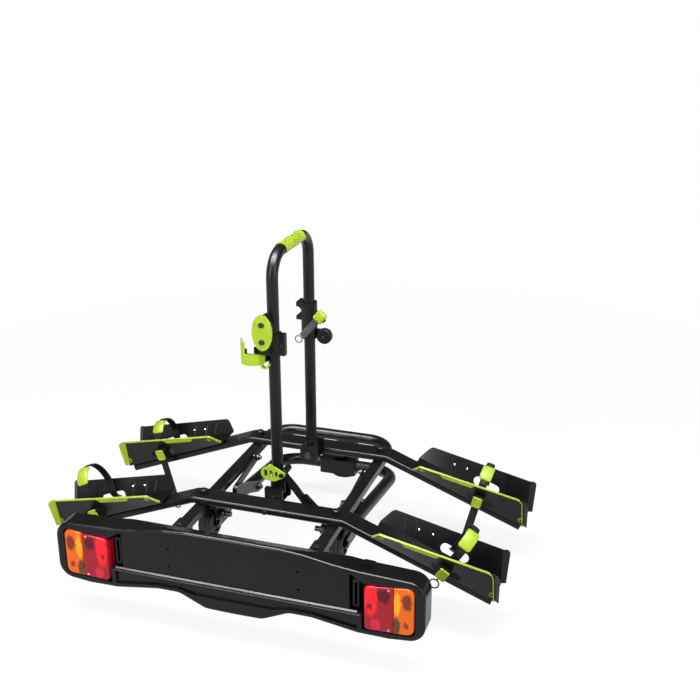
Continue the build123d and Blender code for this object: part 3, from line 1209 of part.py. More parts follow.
# Cable gland on the back of the board
with BuildPart() as cable_gland:
    with Locations((GLAND_X, BOARD_BACK_Y + 4, GLAND_Z)):
        Cylinder(10, 8, rotation=(90, 0, 0))
    with Locations((GLAND_X, BOARD_BACK_Y + 4, GLAND_Z)):
        Cylinder(6, 26, rotation=(90, 0, 0))
    with Locations((GLAND_X, BOARD_BACK_Y + 4, GLAND_Z)):
        Cylinder(3.5, 40, rotation=(90, 0, 0), mode=Mode.SUBTRACT)


ARCH_LOW = 90.0             # crown of the front straps above the wing
ARCH_HIGH = 116.0            # crown of the rear straps above the wing
TAIL_LONG = 118.0
TAIL_Y = -51.0
WALL_LEAN = 0.392            # sideways run of a tray wall per millimetre of height
BUCKLE_LOW = 5.0
BUCKLE_HIGH = 33.0
HINGE_LIFT = 4.4
TURN_LIFT = 22.0             # height above the wing about which a strap leans
FRONT_LEAN = 14.3            # degrees that a strap's plane leans from the wing's own square
REAR_LEAN_RIGHT = 33.0
REAR_LEAN_LEFT = 25.0


def strap_plane(bar_y, lean):
    """Plane of a strap over the right wing: local X along +Y, local Y upwards, leaning outwards by lean."""
    turn_x = STRAP_X + TURN_LIFT * sin(radians(WING_ANGLE))
    turn_z = wing_top(STRAP_X) + TURN_LIFT * cos(radians(WING_ANGLE))
    return Plane(
        origin=(turn_x - TURN_LIFT * sin(radians(lean)), bar_y, turn_z - TURN_LIFT * cos(radians(lean))),
        x_dir=(0, 1, 0),
        z_dir=(cos(radians(lean)), 0, -sin(radians(lean))),
    )


def wall_y(height):
    """Outer face of the rear tray wall in the strap plane."""
    return -(TRAY_FLOOR_HALF + (height - TRAY_LIFT) * WALL_LEAN)


def arch_points(crown):
    """Path of a strap from the rear wall over the tray to the front wall."""
    return (
        (TAIL_Y, 4), (-48, 12), (-40.5, 18), (-36, 28), (-40, 46), (-44, crown - 34), (-34, crown - 12),
        (-10, crown), (18, crown - 6), (38, crown - 34), (40, 46), (36, 28), (40.5, 18), (48, 12),
    )


def strap_band(bar_y, lean, crown, tail):
    """One strap; a tail longer than nothing hangs outside the rear wall and ends in a ring."""
    plane = strap_plane(bar_y, lean)
    with BuildPart() as band:
        with BuildLine(plane) as arch:
            Spline(*arch_points(crown))
        with BuildSketch(Plane(origin=arch.line @ 0, x_dir=plane.z_dir, z_dir=arch.line % 0)):
            Rectangle(STRAP_WIDTH, STRAP_THICK)
        sweep()
        if tail > 0:
            with BuildSketch(plane.offset(-STRAP_WIDTH / 2)):
                with Locations((TAIL_Y, 5 - tail / 2)):
                    Rectangle(STRAP_THICK, tail)
            extrude(amount=STRAP_WIDTH)
            ring_axis = plane.location * Location((TAIL_Y, -tail - 2.5, 0), (0, 90, 0))
            with Locations(ring_axis):
                Torus(7, 1.6)
    return band.part


def rim_pad(bar_y, lean, crown):
    """Pad that sits round the strap on its rear shoulder."""
    plane = strap_plane(bar_y, lean)
    with BuildPart() as pad:
        with BuildLine(plane) as arch:
            whole = Spline(*arch_points(crown), mode=Mode.PRIVATE)
            add(whole.trim(0.33, 0.49))
        with BuildSketch(Plane(origin=arch.line @ 0, x_dir=plane.z_dir, z_dir=arch.line % 0)):
            RectangleRounded(PAD_WIDTH, PAD_THICK, 2)
            Rectangle(STRAP_WIDTH, STRAP_THICK, mode=Mode.SUBTRACT)
        sweep()
    return pad.part


def buckle_frame(bar_y, lean, loop):
    """Buckle body outside the rear wall, with two ears, a hinge pin and sometimes a wire loop."""
    plane = strap_plane(bar_y, lean)
    half = BUCKLE_HALF + 1.4
    hinge = (wall_y(BUCKLE_HIGH) - BUCKLE_DEEP - HINGE_LIFT, BUCKLE_HIGH - 5)
    with BuildPart() as frame:
        with BuildSketch(plane.offset(-half)):
            Polygon(
                (wall_y(BUCKLE_LOW) - 1.4, BUCKLE_LOW),
                (wall_y(BUCKLE_HIGH) - 1.4, BUCKLE_HIGH),
                (wall_y(BUCKLE_HIGH) - BUCKLE_DEEP, BUCKLE_HIGH - 2),
                (wall_y(BUCKLE_LOW) - BUCKLE_DEEP - 8, BUCKLE_LOW - 4),
                (wall_y(BUCKLE_LOW) - BUCKLE_DEEP, BUCKLE_LOW - 4),
                align=None,
            )
        extrude(amount=2 * half)
        for low in (-half, BUCKLE_HALF - 0.8):
            with BuildSketch(plane.offset(low)):
                with Locations(hinge):
                    Circle(4)
                with Locations((hinge[0] + 7, hinge[1] - 4)):
                    Circle(3)
                make_hull()
            extrude(amount=2.2)
        with BuildSketch(plane.offset(-half)):
            with Locations(hinge):
                Circle(1.6)
        extrude(amount=2 * half)
        if loop:
            with BuildLine(plane) as wire:
                Line((TAIL_Y - 2, BUCKLE_LOW), (TAIL_Y - 2, BUCKLE_LOW - 8))
            with BuildSketch(Plane(origin=wire.line @ 0, z_dir=wire.line % 0)):
                Circle(1.5)
            sweep()
            with Locations(plane.location * Location((TAIL_Y - 2, BUCKLE_LOW - 17, 0), (0, 90, 0))):
                Torus(10, 1.5)
        add(strap_band(bar_y, lean, ARCH_HIGH if loop else ARCH_LOW, 0 if loop else TAIL_LONG), mode=Mode.SUBTRACT)
    return frame.part


def buckle_lever(bar_y, lean):
    """Lime lever that closes the buckle."""
    plane = strap_plane(bar_y, lean)
    half = BUCKLE_HALF - 1.2
    hinge = (wall_y(BUCKLE_HIGH) - BUCKLE_DEEP - HINGE_LIFT, BUCKLE_HIGH - 5)
    with BuildPart() as lever:
        with BuildSketch(plane.offset(-half)) as lever_outline:
            Polygon(
                (hinge[0] + 3.4, hinge[1] - 3.4),
                (hinge[0] + 2.6, hinge[1] + 4),
                (hinge[0] - 3.6, hinge[1] + 3.4),
                (wall_y(BUCKLE_LOW) - BUCKLE_DEEP - 14.5, BUCKLE_LOW + 1),
                (wall_y(BUCKLE_LOW) - BUCKLE_DEEP - 11.5, BUCKLE_LOW + 1),
                align=None,
            )
            fillet(lever_outline.vertices(), radius=1.2)
            with Locations(hinge):
                Circle(1.6 + RUN_FIT, mode=Mode.SUBTRACT)
        extrude(amount=2 * half)
    return lever.part


# Wheel straps: flat bands over the trays and out through the cut-outs
with BuildPart() as wheel_straps:
    add(strap_band(BAR_FRONT_Y, FRONT_LEAN, ARCH_LOW, TAIL_LONG))
    mirror(strap_band(BAR_FRONT_Y, FRONT_LEAN, ARCH_LOW, TAIL_LONG), about=Plane.YZ)
    add(strap_band(BAR_REAR_Y, REAR_LEAN_RIGHT, ARCH_HIGH, 0))
    mirror(strap_band(BAR_REAR_Y, REAR_LEAN_LEFT, ARCH_HIGH, 0), about=Plane.YZ)

# Rim pads on the straps
with BuildPart() as rim_pads:
    add(rim_pad(BAR_FRONT_Y, FRONT_LEAN, ARCH_LOW))
    mirror(rim_pad(BAR_FRONT_Y, FRONT_LEAN, ARCH_LOW), about=Plane.YZ)
    add(rim_pad(BAR_REAR_Y, REAR_LEAN_RIGHT, ARCH_HIGH))
    mirror(rim_pad(BAR_REAR_Y, REAR_LEAN_LEFT, ARCH_HIGH), about=Plane.YZ)

# Buckle bodies outside the rear walls of the trays
with BuildPart() as buckle_frames:
    add(buckle_frame(BAR_FRONT_Y, FRONT_LEAN, False))
    mirror(buckle_frame(BAR_FRONT_Y, FRONT_LEAN, False), about=Plane.YZ)
    add(buckle_frame(BAR_REAR_Y, REAR_LEAN_RIGHT, True))
    mirror(buckle_frame(BAR_REAR_Y, REAR_LEAN_LEFT, True), about=Plane.YZ)

# Buckle levers
with BuildPart() as buckle_front_right:
    add(buckle_lever(BAR_FRONT_Y, FRONT_LEAN))

with BuildPart() as buckle_front_left:
    mirror(buckle_front_right.part, about=Plane.YZ)

with BuildPart() as buckle_rear_right:
    add(buckle_lever(BAR_REAR_Y, REAR_LEAN_RIGHT))

with BuildPart() as buckle_rear_left:
    mirror(buckle_lever(BAR_REAR_Y, REAR_LEAN_LEFT), about=Plane.YZ)

# Export: one file per sub-part, named after its node
base_tube.part.label = "base_tube"
export_step(base_tube.part, "parts/base_tube.step")
coupling_housing.part.label = "coupling_housing"
export_step(coupling_housing.part, "parts/coupling_housing.step")
coupling_lever.part.label = "coupling_lever"
export_step(coupling_lever.part, "parts/coupling_lever.step")
forks.part.label = "forks"
export_step(forks.part, "parts/forks.step")
base_pins.part.label = "base_pins"
export_step(base_pins.part, "parts/base_pins.step")
hub_right.part.label = "hub_right"
export_step(hub_right.part, "parts/hub_right.step")
hub_left.part.label = "hub_left"
export_step(hub_left.part, "parts/hub_left.step")
tyre_right.part.label = "tyre_right"
export_step(tyre_right.part, "parts/tyre_right.step")
tyre_left.part.label = "tyre_left"
export_step(tyre_left.part, "parts/tyre_left.step")
stay_upper_right.part.label = "stay_upper_right"
export_step(stay_upper_right.part, "parts/stay_upper_right.step")
stay_upper_left.part.label = "stay_upper_left"
export_step(stay_upper_left.part, "parts/stay_upper_left.step")
stay_lower_right.part.label = "stay_lower_right"
export_step(stay_lower_right.part, "parts/stay_lower_right.step")
stay_lower_left.part.label = "stay_lower_left"
export_step(stay_lower_left.part, "parts/stay_lower_left.step")
rail_right.part.label = "rail_right"
export_step(rail_right.part, "parts/rail_right.step")
rail_left.part.label = "rail_left"
export_step(rail_left.part, "parts/rail_left.step")
front_bow.part.label = "front_bow"
export_step(front_bow.part, "parts/front_bow.step")
crossbar_front.part.label = "crossbar_front"
export_step(crossbar_front.part, "parts/crossbar_front.step")
crossbar_rear.part.label = "crossbar_rear"
export_step(crossbar_rear.part, "parts/crossbar_rear.step")
crossbar_caps.part.label = "crossbar_caps"
export_step(crossbar_caps.part, "parts/crossbar_caps.step")
platform_bolts.part.label = "platform_bolts"
export_step(platform_bolts.part, "parts/platform_bolts.step")
crossbar_knobs.part.label = "crossbar_knobs"
export_step(crossbar_knobs.part, "parts/crossbar_knobs.step")
pivot_ears.part.label = "pivot_ears"
export_step(pivot_ears.part, "parts/pivot_ears.step")
hinge_brackets.part.label = "hinge_brackets"
export_step(hinge_brackets.part, "parts/hinge_brackets.step")
hinge_pins.part.label = "hinge_pins"
export_step(hinge_pins.part, "parts/hinge_pins.step")
hoop_tube.part.label = "hoop_tube"
export_step(hoop_tube.part, "parts/hoop_tube.step")
hoop_feet.part.label = "hoop_feet"
export_step(hoop_feet.part, "parts/hoop_feet.step")
hoop_grip.part.label = "hoop_grip"
export_step(hoop_grip.part, "parts/hoop_grip.step")
hoop_brace.part.label = "hoop_brace"
export_step(hoop_brace.part, "parts/hoop_brace.step")
lock_pin.part.label = "lock_pin"
export_step(lock_pin.part, "parts/lock_pin.step")
lock_lever.part.label = "lock_lever"
export_step(lock_lever.part, "parts/lock_lever.step")
rear_clamp_body.part.label = "rear_clamp_body"
export_step(rear_clamp_body.part, "parts/rear_clamp_body.step")
rear_clamp_plate.part.label = "rear_clamp_plate"
export_step(rear_clamp_plate.part, "parts/rear_clamp_plate.step")
rear_clamp_bolts.part.label = "rear_clamp_bolts"
export_step(rear_clamp_bolts.part, "parts/rear_clamp_bolts.step")
rear_clamp_cradle.part.label = "rear_clamp_cradle"
export_step(rear_clamp_cradle.part, "parts/rear_clamp_cradle.step")
front_clamp_body.part.label = "front_clamp_body"
export_step(front_clamp_body.part, "parts/front_clamp_body.step")
front_clamp_strap.part.label = "front_clamp_strap"
export_step(front_clamp_strap.part, "parts/front_clamp_strap.step")
front_clamp_buckle.part.label = "front_clamp_buckle"
export_step(front_clamp_buckle.part, "parts/front_clamp_buckle.step")
front_clamp_knob.part.label = "front_clamp_knob"
export_step(front_clamp_knob.part, "parts/front_clamp_knob.step")
front_clamp_stud.part.label = "front_clamp_stud"
export_step(front_clamp_stud.part, "parts/front_clamp_stud.step")
tray_front_right.part.label = "tray_front_right"
export_step(tray_front_right.part, "parts/tray_front_right.step")
tray_front_left.part.label = "tray_front_left"
export_step(tray_front_left.part, "parts/tray_front_left.step")
tray_rear_right.part.label = "tray_rear_right"
export_step(tray_rear_right.part, "parts/tray_rear_right.step")
tray_rear_left.part.label = "tray_rear_left"
export_step(tray_rear_left.part, "parts/tray_rear_left.step")
tray_trims.part.label = "tray_trims"
export_step(tray_trims.part, "parts/tray_trims.step")
board_housing.part.label = "board_housing"
export_step(board_housing.part, "parts/board_housing.step")
board_bezel.part.label = "board_bezel"
export_step(board_bezel.part, "parts/board_bezel.step")
plate_panel.part.label = "plate_panel"
export_step(plate_panel.part, "parts/plate_panel.step")
plate_channels.part.label = "plate_channels"
export_step(plate_channels.part, "parts/plate_channels.step")
lamp_cases.part.label = "lamp_cases"
export_step(lamp_cases.part, "parts/lamp_cases.step")
red_lenses.part.label = "red_lenses"
export_step(red_lenses.part, "parts/red_lenses.step")
amber_lenses.part.label = "amber_lenses"
export_step(amber_lenses.part, "parts/amber_lenses.step")
board_sleeves.part.label = "board_sleeves"
export_step(board_sleeves.part, "parts/board_sleeves.step")
cable_gland.part.label = "cable_gland"
export_step(cable_gland.part, "parts/cable_gland.step")
wheel_straps.part.label = "wheel_straps"
export_step(wheel_straps.part, "parts/wheel_straps.step")
rim_pads.part.label = "rim_pads"
export_step(rim_pads.part, "parts/rim_pads.step")
buckle_frames.part.label = "buckle_frames"
export_step(buckle_frames.part, "parts/buckle_frames.step")
buckle_front_right.part.label = "buckle_front_right"
export_step(buckle_front_right.part, "parts/buckle_front_right.step")
buckle_front_left.part.label = "buckle_front_left"
export_step(buckle_front_left.part, "parts/buckle_front_left.step")
buckle_rear_right.part.label = "buckle_rear_right"
export_step(buckle_rear_right.part, "parts/buckle_rear_right.step")
buckle_rear_left.part.label = "buckle_rear_left"
export_step(buckle_rear_left.part, "parts/buckle_rear_left.step")
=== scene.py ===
from math import cos, pi, radians, sin, tan

import bmesh
import bpy
import numpy as np
from mathutils import Matrix, Vector


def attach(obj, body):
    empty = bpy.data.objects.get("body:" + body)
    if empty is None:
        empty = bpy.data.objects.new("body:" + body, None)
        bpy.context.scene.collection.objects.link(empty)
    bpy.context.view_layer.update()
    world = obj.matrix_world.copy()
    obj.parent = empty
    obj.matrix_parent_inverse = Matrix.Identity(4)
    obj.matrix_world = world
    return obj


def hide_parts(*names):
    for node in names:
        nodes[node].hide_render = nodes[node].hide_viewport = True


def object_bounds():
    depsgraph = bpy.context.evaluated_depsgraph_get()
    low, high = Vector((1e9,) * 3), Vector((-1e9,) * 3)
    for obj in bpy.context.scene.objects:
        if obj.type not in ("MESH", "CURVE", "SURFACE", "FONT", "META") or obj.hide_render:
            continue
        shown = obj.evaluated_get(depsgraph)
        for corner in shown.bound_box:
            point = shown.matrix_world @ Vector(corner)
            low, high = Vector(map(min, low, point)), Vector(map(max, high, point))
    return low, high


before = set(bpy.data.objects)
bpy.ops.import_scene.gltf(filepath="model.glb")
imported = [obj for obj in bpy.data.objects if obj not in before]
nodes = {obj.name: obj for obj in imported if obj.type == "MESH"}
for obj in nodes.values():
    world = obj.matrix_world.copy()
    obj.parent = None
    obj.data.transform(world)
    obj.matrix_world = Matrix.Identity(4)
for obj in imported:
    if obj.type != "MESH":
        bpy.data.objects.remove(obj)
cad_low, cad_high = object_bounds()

# The photographer's place: behind and to the right of the carrier, looking down by about 20 degrees.
# The lens gives the photograph's square frame, and the camera is turned by a hair on its axis.
VIEW_TARGET = Vector((0.0774, -0.190, 0.3883))
VIEW_DISTANCE = 2.5701
VIEW_AZIMUTH = radians(18.4319)
VIEW_ELEVATION = radians(20.6533)
VIEW_ROLL = radians(-0.2341)
backwards = Vector((
    sin(VIEW_AZIMUTH) * cos(VIEW_ELEVATION),
    -cos(VIEW_AZIMUTH) * cos(VIEW_ELEVATION),
    sin(VIEW_ELEVATION),
))
level_right = (-backwards).cross(Vector((0, 0, 1))).normalized()
level_up = level_right.cross(-backwards)
view_right = level_right * cos(VIEW_ROLL) + level_up * sin(VIEW_ROLL)
view_up = level_up * cos(VIEW_ROLL) - level_right * sin(VIEW_ROLL)
camera_data = bpy.data.cameras.new("photo_camera")
camera_data.sensor_width = 36.0
camera_data.lens = 57.89
camera = bpy.data.objects.new("photo_camera", camera_data)
bpy.context.scene.collection.objects.link(camera)
turn = Matrix((view_right, view_up, backwards)).transposed().to_4x4()
camera.matrix_world = Matrix.Translation(VIEW_TARGET + backwards * VIEW_DISTANCE) @ turn
bpy.context.scene.camera = camera
bpy.context.scene.view_settings.view_transform = "Standard"

# Studio: a pale floor just below the carrier, a white surround, three soft lamps and an overhead card.
# The floor looks white to the camera and in shiny or clear faces, and keeps a faint shadow. The surround is
# white to the camera alone. The card shows only in shiny faces, as the bright line along each upper edge.
FLOOR_HALF = 30.0
FLOOR_DROP = 0.004
FLOOR_THROWN_BACK = 0.42
FLOOR_SHADOW_SHARE = 0.20
FLOOR_GLOW = 0.86
SHADOW_FADES_FROM = 0.75
SHADOW_GONE_AT = 1.9
SURROUND_LIGHT = 0.16
floor_z = cad_low.z - FLOOR_DROP
floor_mesh = bpy.data.meshes.new("studio_floor")
floor_mesh.from_pydata(
    [(-FLOOR_HALF, -FLOOR_HALF, floor_z), (FLOOR_HALF, -FLOOR_HALF, floor_z),
     (FLOOR_HALF, FLOOR_HALF, floor_z), (-FLOOR_HALF, FLOOR_HALF, floor_z)],
    [], [(0, 1, 2, 3)],
)
floor = bpy.data.objects.new("studio_floor", floor_mesh)
bpy.context.scene.collection.objects.link(floor)
paper = bpy.data.materials.new("studio_paper")
paper.use_nodes = True
tree = paper.node_tree
tree.nodes.clear()
out = tree.nodes.new("ShaderNodeOutputMaterial")
seen = tree.nodes.new("ShaderNodeLightPath")
matt = tree.nodes.new("ShaderNodeBsdfDiffuse")
matt.inputs["Color"].default_value = (FLOOR_THROWN_BACK, FLOOR_THROWN_BACK, FLOOR_THROWN_BACK, 1)
faint = tree.nodes.new("ShaderNodeBsdfDiffuse")
faint.inputs["Color"].default_value = (FLOOR_SHADOW_SHARE, FLOOR_SHADOW_SHARE, FLOOR_SHADOW_SHARE, 1)
lift = tree.nodes.new("ShaderNodeEmission")
lift.inputs["Strength"].default_value = FLOOR_GLOW
both = tree.nodes.new("ShaderNodeAddShader")
clear = tree.nodes.new("ShaderNodeEmission")
clear.inputs["Strength"].default_value = 1.0
spot = tree.nodes.new("ShaderNodeNewGeometry")
far = tree.nodes.new("ShaderNodeVectorMath")
far.operation = "LENGTH"
fade = tree.nodes.new("ShaderNodeMapRange")
fade.inputs["From Min"].default_value = SHADOW_FADES_FROM
fade.inputs["From Max"].default_value = SHADOW_GONE_AT
near_or_far = tree.nodes.new("ShaderNodeMixShader")
pick = tree.nodes.new("ShaderNodeMixShader")
tree.links.new(spot.outputs["Position"], far.inputs[0])
tree.links.new(far.outputs["Value"], fade.inputs["Value"])
tree.links.new(faint.outputs[0], both.inputs[0])
tree.links.new(lift.outputs[0], both.inputs[1])
tree.links.new(fade.outputs["Result"], near_or_far.inputs[0])
tree.links.new(both.outputs[0], near_or_far.inputs[1])
tree.links.new(clear.outputs[0], near_or_far.inputs[2])
mirror_or_seen = tree.nodes.new("ShaderNodeMath")
mirror_or_seen.operation = "MAXIMUM"
clear_or_seen = tree.nodes.new("ShaderNodeMath")
clear_or_seen.operation = "MAXIMUM"
tree.links.new(seen.outputs["Is Camera Ray"], mirror_or_seen.inputs[0])
tree.links.new(seen.outputs["Is Glossy Ray"], mirror_or_seen.inputs[1])
tree.links.new(mirror_or_seen.outputs[0], clear_or_seen.inputs[0])
tree.links.new(seen.outputs["Is Transmission Ray"], clear_or_seen.inputs[1])
tree.links.new(clear_or_seen.outputs[0], pick.inputs[0])
tree.links.new(matt.outputs[0], pick.inputs[1])
tree.links.new(near_or_far.outputs[0], pick.inputs[2])
tree.links.new(pick.outputs[0], out.inputs["Surface"])
floor_mesh.materials.append(paper)

world = bpy.data.worlds.new("studio_surround")
bpy.context.scene.world = world
world.use_nodes = True
tree = world.node_tree
tree.nodes.clear()
out = tree.nodes.new("ShaderNodeOutputWorld")
seen = tree.nodes.new("ShaderNodeLightPath")
white = tree.nodes.new("ShaderNodeBackground")
white.inputs["Color"].default_value = (1, 1, 1, 1)
soft = tree.nodes.new("ShaderNodeBackground")
soft.inputs["Strength"].default_value = SURROUND_LIGHT
pick = tree.nodes.new("ShaderNodeMixShader")
tree.links.new(seen.outputs["Is Camera Ray"], pick.inputs[0])
tree.links.new(soft.outputs[0], pick.inputs[1])
tree.links.new(white.outputs[0], pick.inputs[2])
tree.links.new(pick.outputs[0], out.inputs["Surface"])


def soft_lamp(name, place, aim, size, power):
    """A soft box of size (wide, high) at place that points at aim."""
    data = bpy.data.lights.new(name, "AREA")
    data.shape = "RECTANGLE"
    data.size, data.size_y = size
    data.energy = power
    lamp = bpy.data.objects.new(name, data)
    bpy.context.scene.collection.objects.link(lamp)
    lamp.location = place
    lamp.rotation_euler = (Vector(aim) - Vector(place)).to_track_quat("-Z", "Y").to_euler()
    return lamp


soft_lamp("lamp_over", (0.0, -0.9, 2.6), (0, -0.40, 0.1), (3.0, 0.28), 44)
soft_lamp("lamp_left", (-1.3, -3.4, 1.5), (0, -0.4, 0.3), (0.8, 1.7), 62)
soft_lamp("lamp_right", (2.9, -1.3, 1.2), (0, -0.4, 0.3), (0.8, 1.7), 44)
shine_card = soft_lamp("shine_card", (0.0, -1.05, 2.6), (0, -0.65, 0.15), (3.2, 1.3), 380)
shine_card.visible_diffuse = False


# Steel frame: welded tubes, plates and brackets with one black powder coat over all of it.
# The coat is satin with a fine orange-peel skin, a little greyer where dust and handling dull it.
def grained_finish(name, dark, light, rough, grain, depth, metal=0.0, patch=9.0, shine=0.5):
    """A finish whose colour and roughness drift in patches over a fine grain.
    grain and patch are the number of waves in a metre, depth is the grain's height in metres."""
    material = bpy.data.materials.new(name)
    material.use_nodes = True
    tree = material.node_tree
    shader = tree.nodes["Principled BSDF"]
    place = tree.nodes.new("ShaderNodeTexCoord")
    drift = tree.nodes.new("ShaderNodeTexNoise")
    drift.inputs["Scale"].default_value = patch
    drift.inputs["Detail"].default_value = 6.0
    tint = tree.nodes.new("ShaderNodeValToRGB")
    tint.color_ramp.elements[0].position = 0.3
    tint.color_ramp.elements[1].position = 0.72
    tint.color_ramp.elements[0].color = (*dark, 1)
    tint.color_ramp.elements[1].color = (*light, 1)
    dull = tree.nodes.new("ShaderNodeMapRange")
    dull.inputs["From Min"].default_value = 0.3
    dull.inputs["From Max"].default_value = 0.7
    dull.inputs["To Min"].default_value = rough[0]
    dull.inputs["To Max"].default_value = rough[1]
    skin = tree.nodes.new("ShaderNodeTexNoise")
    skin.inputs["Scale"].default_value = grain
    skin.inputs["Detail"].default_value = 3.0
    bump = tree.nodes.new("ShaderNodeBump")
    bump.inputs["Strength"].default_value = 0.6
    bump.inputs["Distance"].default_value = depth
    tree.links.new(place.outputs["Object"], drift.inputs["Vector"])
    tree.links.new(place.outputs["Object"], skin.inputs["Vector"])
    tree.links.new(drift.outputs["Fac"], tint.inputs["Fac"])
    tree.links.new(tint.outputs["Color"], shader.inputs["Base Color"])
    tree.links.new(drift.outputs["Fac"], dull.inputs["Value"])
    tree.links.new(dull.outputs["Result"], shader.inputs["Roughness"])
    tree.links.new(skin.outputs["Fac"], bump.inputs["Height"])
    tree.links.new(bump.outputs["Normal"], shader.inputs["Normal"])
    shader.inputs["Metallic"].default_value = metal
    shader.inputs["Specular IOR Level"].default_value = shine
    return material


def coat(names, material):
    """Gives the finish to CAD nodes."""
    for name in names:
        mesh = nodes[name].data
        mesh.materials.clear()
        mesh.materials.append(material)


frame_black = grained_finish(
    "frame_black", (0.005, 0.005, 0.006), (0.009, 0.009, 0.010), (0.27, 0.36), 850.0, 0.00010, shine=0.25)
coat([
    "base_tube", "coupling_housing", "forks", "stay_upper_right", "stay_upper_left", "stay_lower_right",
    "stay_lower_left", "rail_right", "rail_left", "front_bow", "crossbar_front", "crossbar_rear",
    "pivot_ears", "hinge_brackets", "hoop_tube", "hoop_feet", "hoop_brace", "board_sleeves",
], frame_black)

# Fasteners: zinc-plated steel pins, bolts and studs that hold the frame together and let it fold.
# The plating is dark, with a dry satin shine.
fastener_zinc = grained_finish(
    "fastener_zinc", (0.05, 0.05, 0.053), (0.11, 0.11, 0.115), (0.30, 0.5), 1400.0, 0.00006,
    metal=1.0, patch=40.0)
coat(["base_pins", "platform_bolts", "hinge_pins", "lock_pin", "front_clamp_stud"], fastener_zinc)

# Clamp bolts: socket screws that hold the lime plate to the rear clamp.
# They are blackened in oil and stand out dark against the plate.
blackened_steel = grained_finish(
    "blackened_steel", (0.012, 0.012, 0.013), (0.024, 0.024, 0.025), (0.26, 0.40), 1400.0, 0.00006,
    patch=40.0, shine=0.5)
coat(["rear_clamp_bolts"], blackened_steel)

# Small plastic parts: caps, knobs, hubs, and the bodies of the clamps and the buckles.
# They are moulded in black nylon with a fine spark-eroded grain.
moulded_black = grained_finish(
    "moulded_black", (0.005, 0.005, 0.006), (0.009, 0.009, 0.010), (0.33, 0.45), 1600.0, 0.00010,
    shine=0.22)
coat([
    "coupling_lever", "crossbar_caps", "crossbar_knobs", "rear_clamp_body", "front_clamp_body",
    "front_clamp_knob", "cable_gland", "buckle_frames", "hub_right", "hub_left",
], moulded_black)

# Trays: large black mouldings bolted to the wings of the crossbars, with ribs on their walls.
# They are a little glossier than the small parts and have a soft leather grain.
tray_black = grained_finish(
    "tray_black", (0.004, 0.004, 0.005), (0.008, 0.008, 0.009), (0.28, 0.40), 900.0, 0.00014, shine=0.22)
coat(["tray_front_right", "tray_front_left", "tray_rear_right", "tray_rear_left"], tray_black)

# Lime parts: nylon dyed right through, for the grip, clamps, levers, pads and tray trim.
# The moulds are nearly polished, so the colour stays even.
lime_nylon = grained_finish(
    "lime_nylon", (0.46, 0.66, 0.028), (0.54, 0.74, 0.040), (0.40, 0.52), 1500.0, 0.000015,
    patch=25.0, shine=0.25)
coat([
    "hoop_grip", "lock_lever", "rear_clamp_plate", "rear_clamp_cradle", "front_clamp_buckle", "tray_trims",
    "rim_pads", "buckle_front_right", "buckle_front_left", "buckle_rear_right", "buckle_rear_left",
], lime_nylon)

# Wheel straps: a flexible black rubber band over each wheel tray, moulded with a row of catch teeth.
# It comes out through the two cut-outs of the tray, and the front straps end in a hanging tail.
# A bent wire eye at the tail's end is there to pull on.
strap_rubber = grained_finish(
    "strap_rubber", (0.006, 0.006, 0.006), (0.011, 0.011, 0.011), (0.40, 0.55), 1100.0, 0.00012, shine=0.22)
WING = radians(21.3)
BAR_BREAK_X = 0.170
BAR_MID_Z = 0.137
BAR_HALF_HEIGHT = 0.008
BAR_FRONT_Y = -0.190
BAR_REAR_Y = -0.508
STRAP_X = 0.388
STRAP_HALF = 0.009
STRAP_HALF_THICK = 0.0012
STRAP_EDGE = 0.0005
STRAP_STEP = 0.0012           # a tooth and its gap take four steps
TOOTH_HIGH = 0.0007
TOOTH_HALF = 0.0052
TAIL_Y = -0.051
TAIL_LOW = -0.113
TAIL_HIGH = 0.0035
EYE_DROP = 0.0075             # from the tail's end to the middle of the wire eye
EYE_RADIUS = 0.007
EYE_WIRE = 0.0016
ARCH_LOW = 0.090
ARCH_HIGH = 0.116
TURN_LIFT = 0.022
FRONT_LEAN = radians(14.3)
REAR_LEAN_RIGHT = radians(33.0)
REAR_LEAN_LEFT = radians(25.0)


def wing_top(x):
    """Height of the crossbar's top face on the wing."""
    return BAR_MID_Z + BAR_HALF_HEIGHT / cos(WING) - (x - BAR_BREAK_X) * tan(WING)


def smooth_line(points, step):
    """Even points on a smooth line through the given ones, each with its direction."""
    given = np.array(points, float)
    length = np.concatenate([[0], np.cumsum(np.hypot(*np.diff(given, axis=0).T))])
    gaps = np.diff(length)
    count = len(given)
    grid = np.zeros((count, count))
    right = np.zeros((count, 2))
    grid[0, 0] = grid[-1, -1] = 1
    for i in range(1, count - 1):
        grid[i, i - 1:i + 2] = gaps[i - 1], 2 * (gaps[i - 1] + gaps[i]), gaps[i]
        right[i] = 6 * ((given[i + 1] - given[i]) / gaps[i] - (given[i] - given[i - 1]) / gaps[i - 1])
    bend = np.linalg.solve(grid, right)
    line = []
    for at in np.linspace(0, length[-1], max(2, round(length[-1] / step))):
        i = min(int(np.searchsorted(length, at, side="right")) - 1, count - 2)
        far = (at - length[i]) / gaps[i]
        near = 1 - far
        place = near * given[i] + far * given[i + 1] + gaps[i] ** 2 / 6 * (
            (near ** 3 - near) * bend[i] + (far ** 3 - far) * bend[i + 1])
        along = (given[i + 1] - given[i]) / gaps[i] + gaps[i] / 6 * (
            (3 * far ** 2 - 1) * bend[i + 1] - (3 * near ** 2 - 1) * bend[i])
        line.append((place, along / np.linalg.norm(along)))
    return line


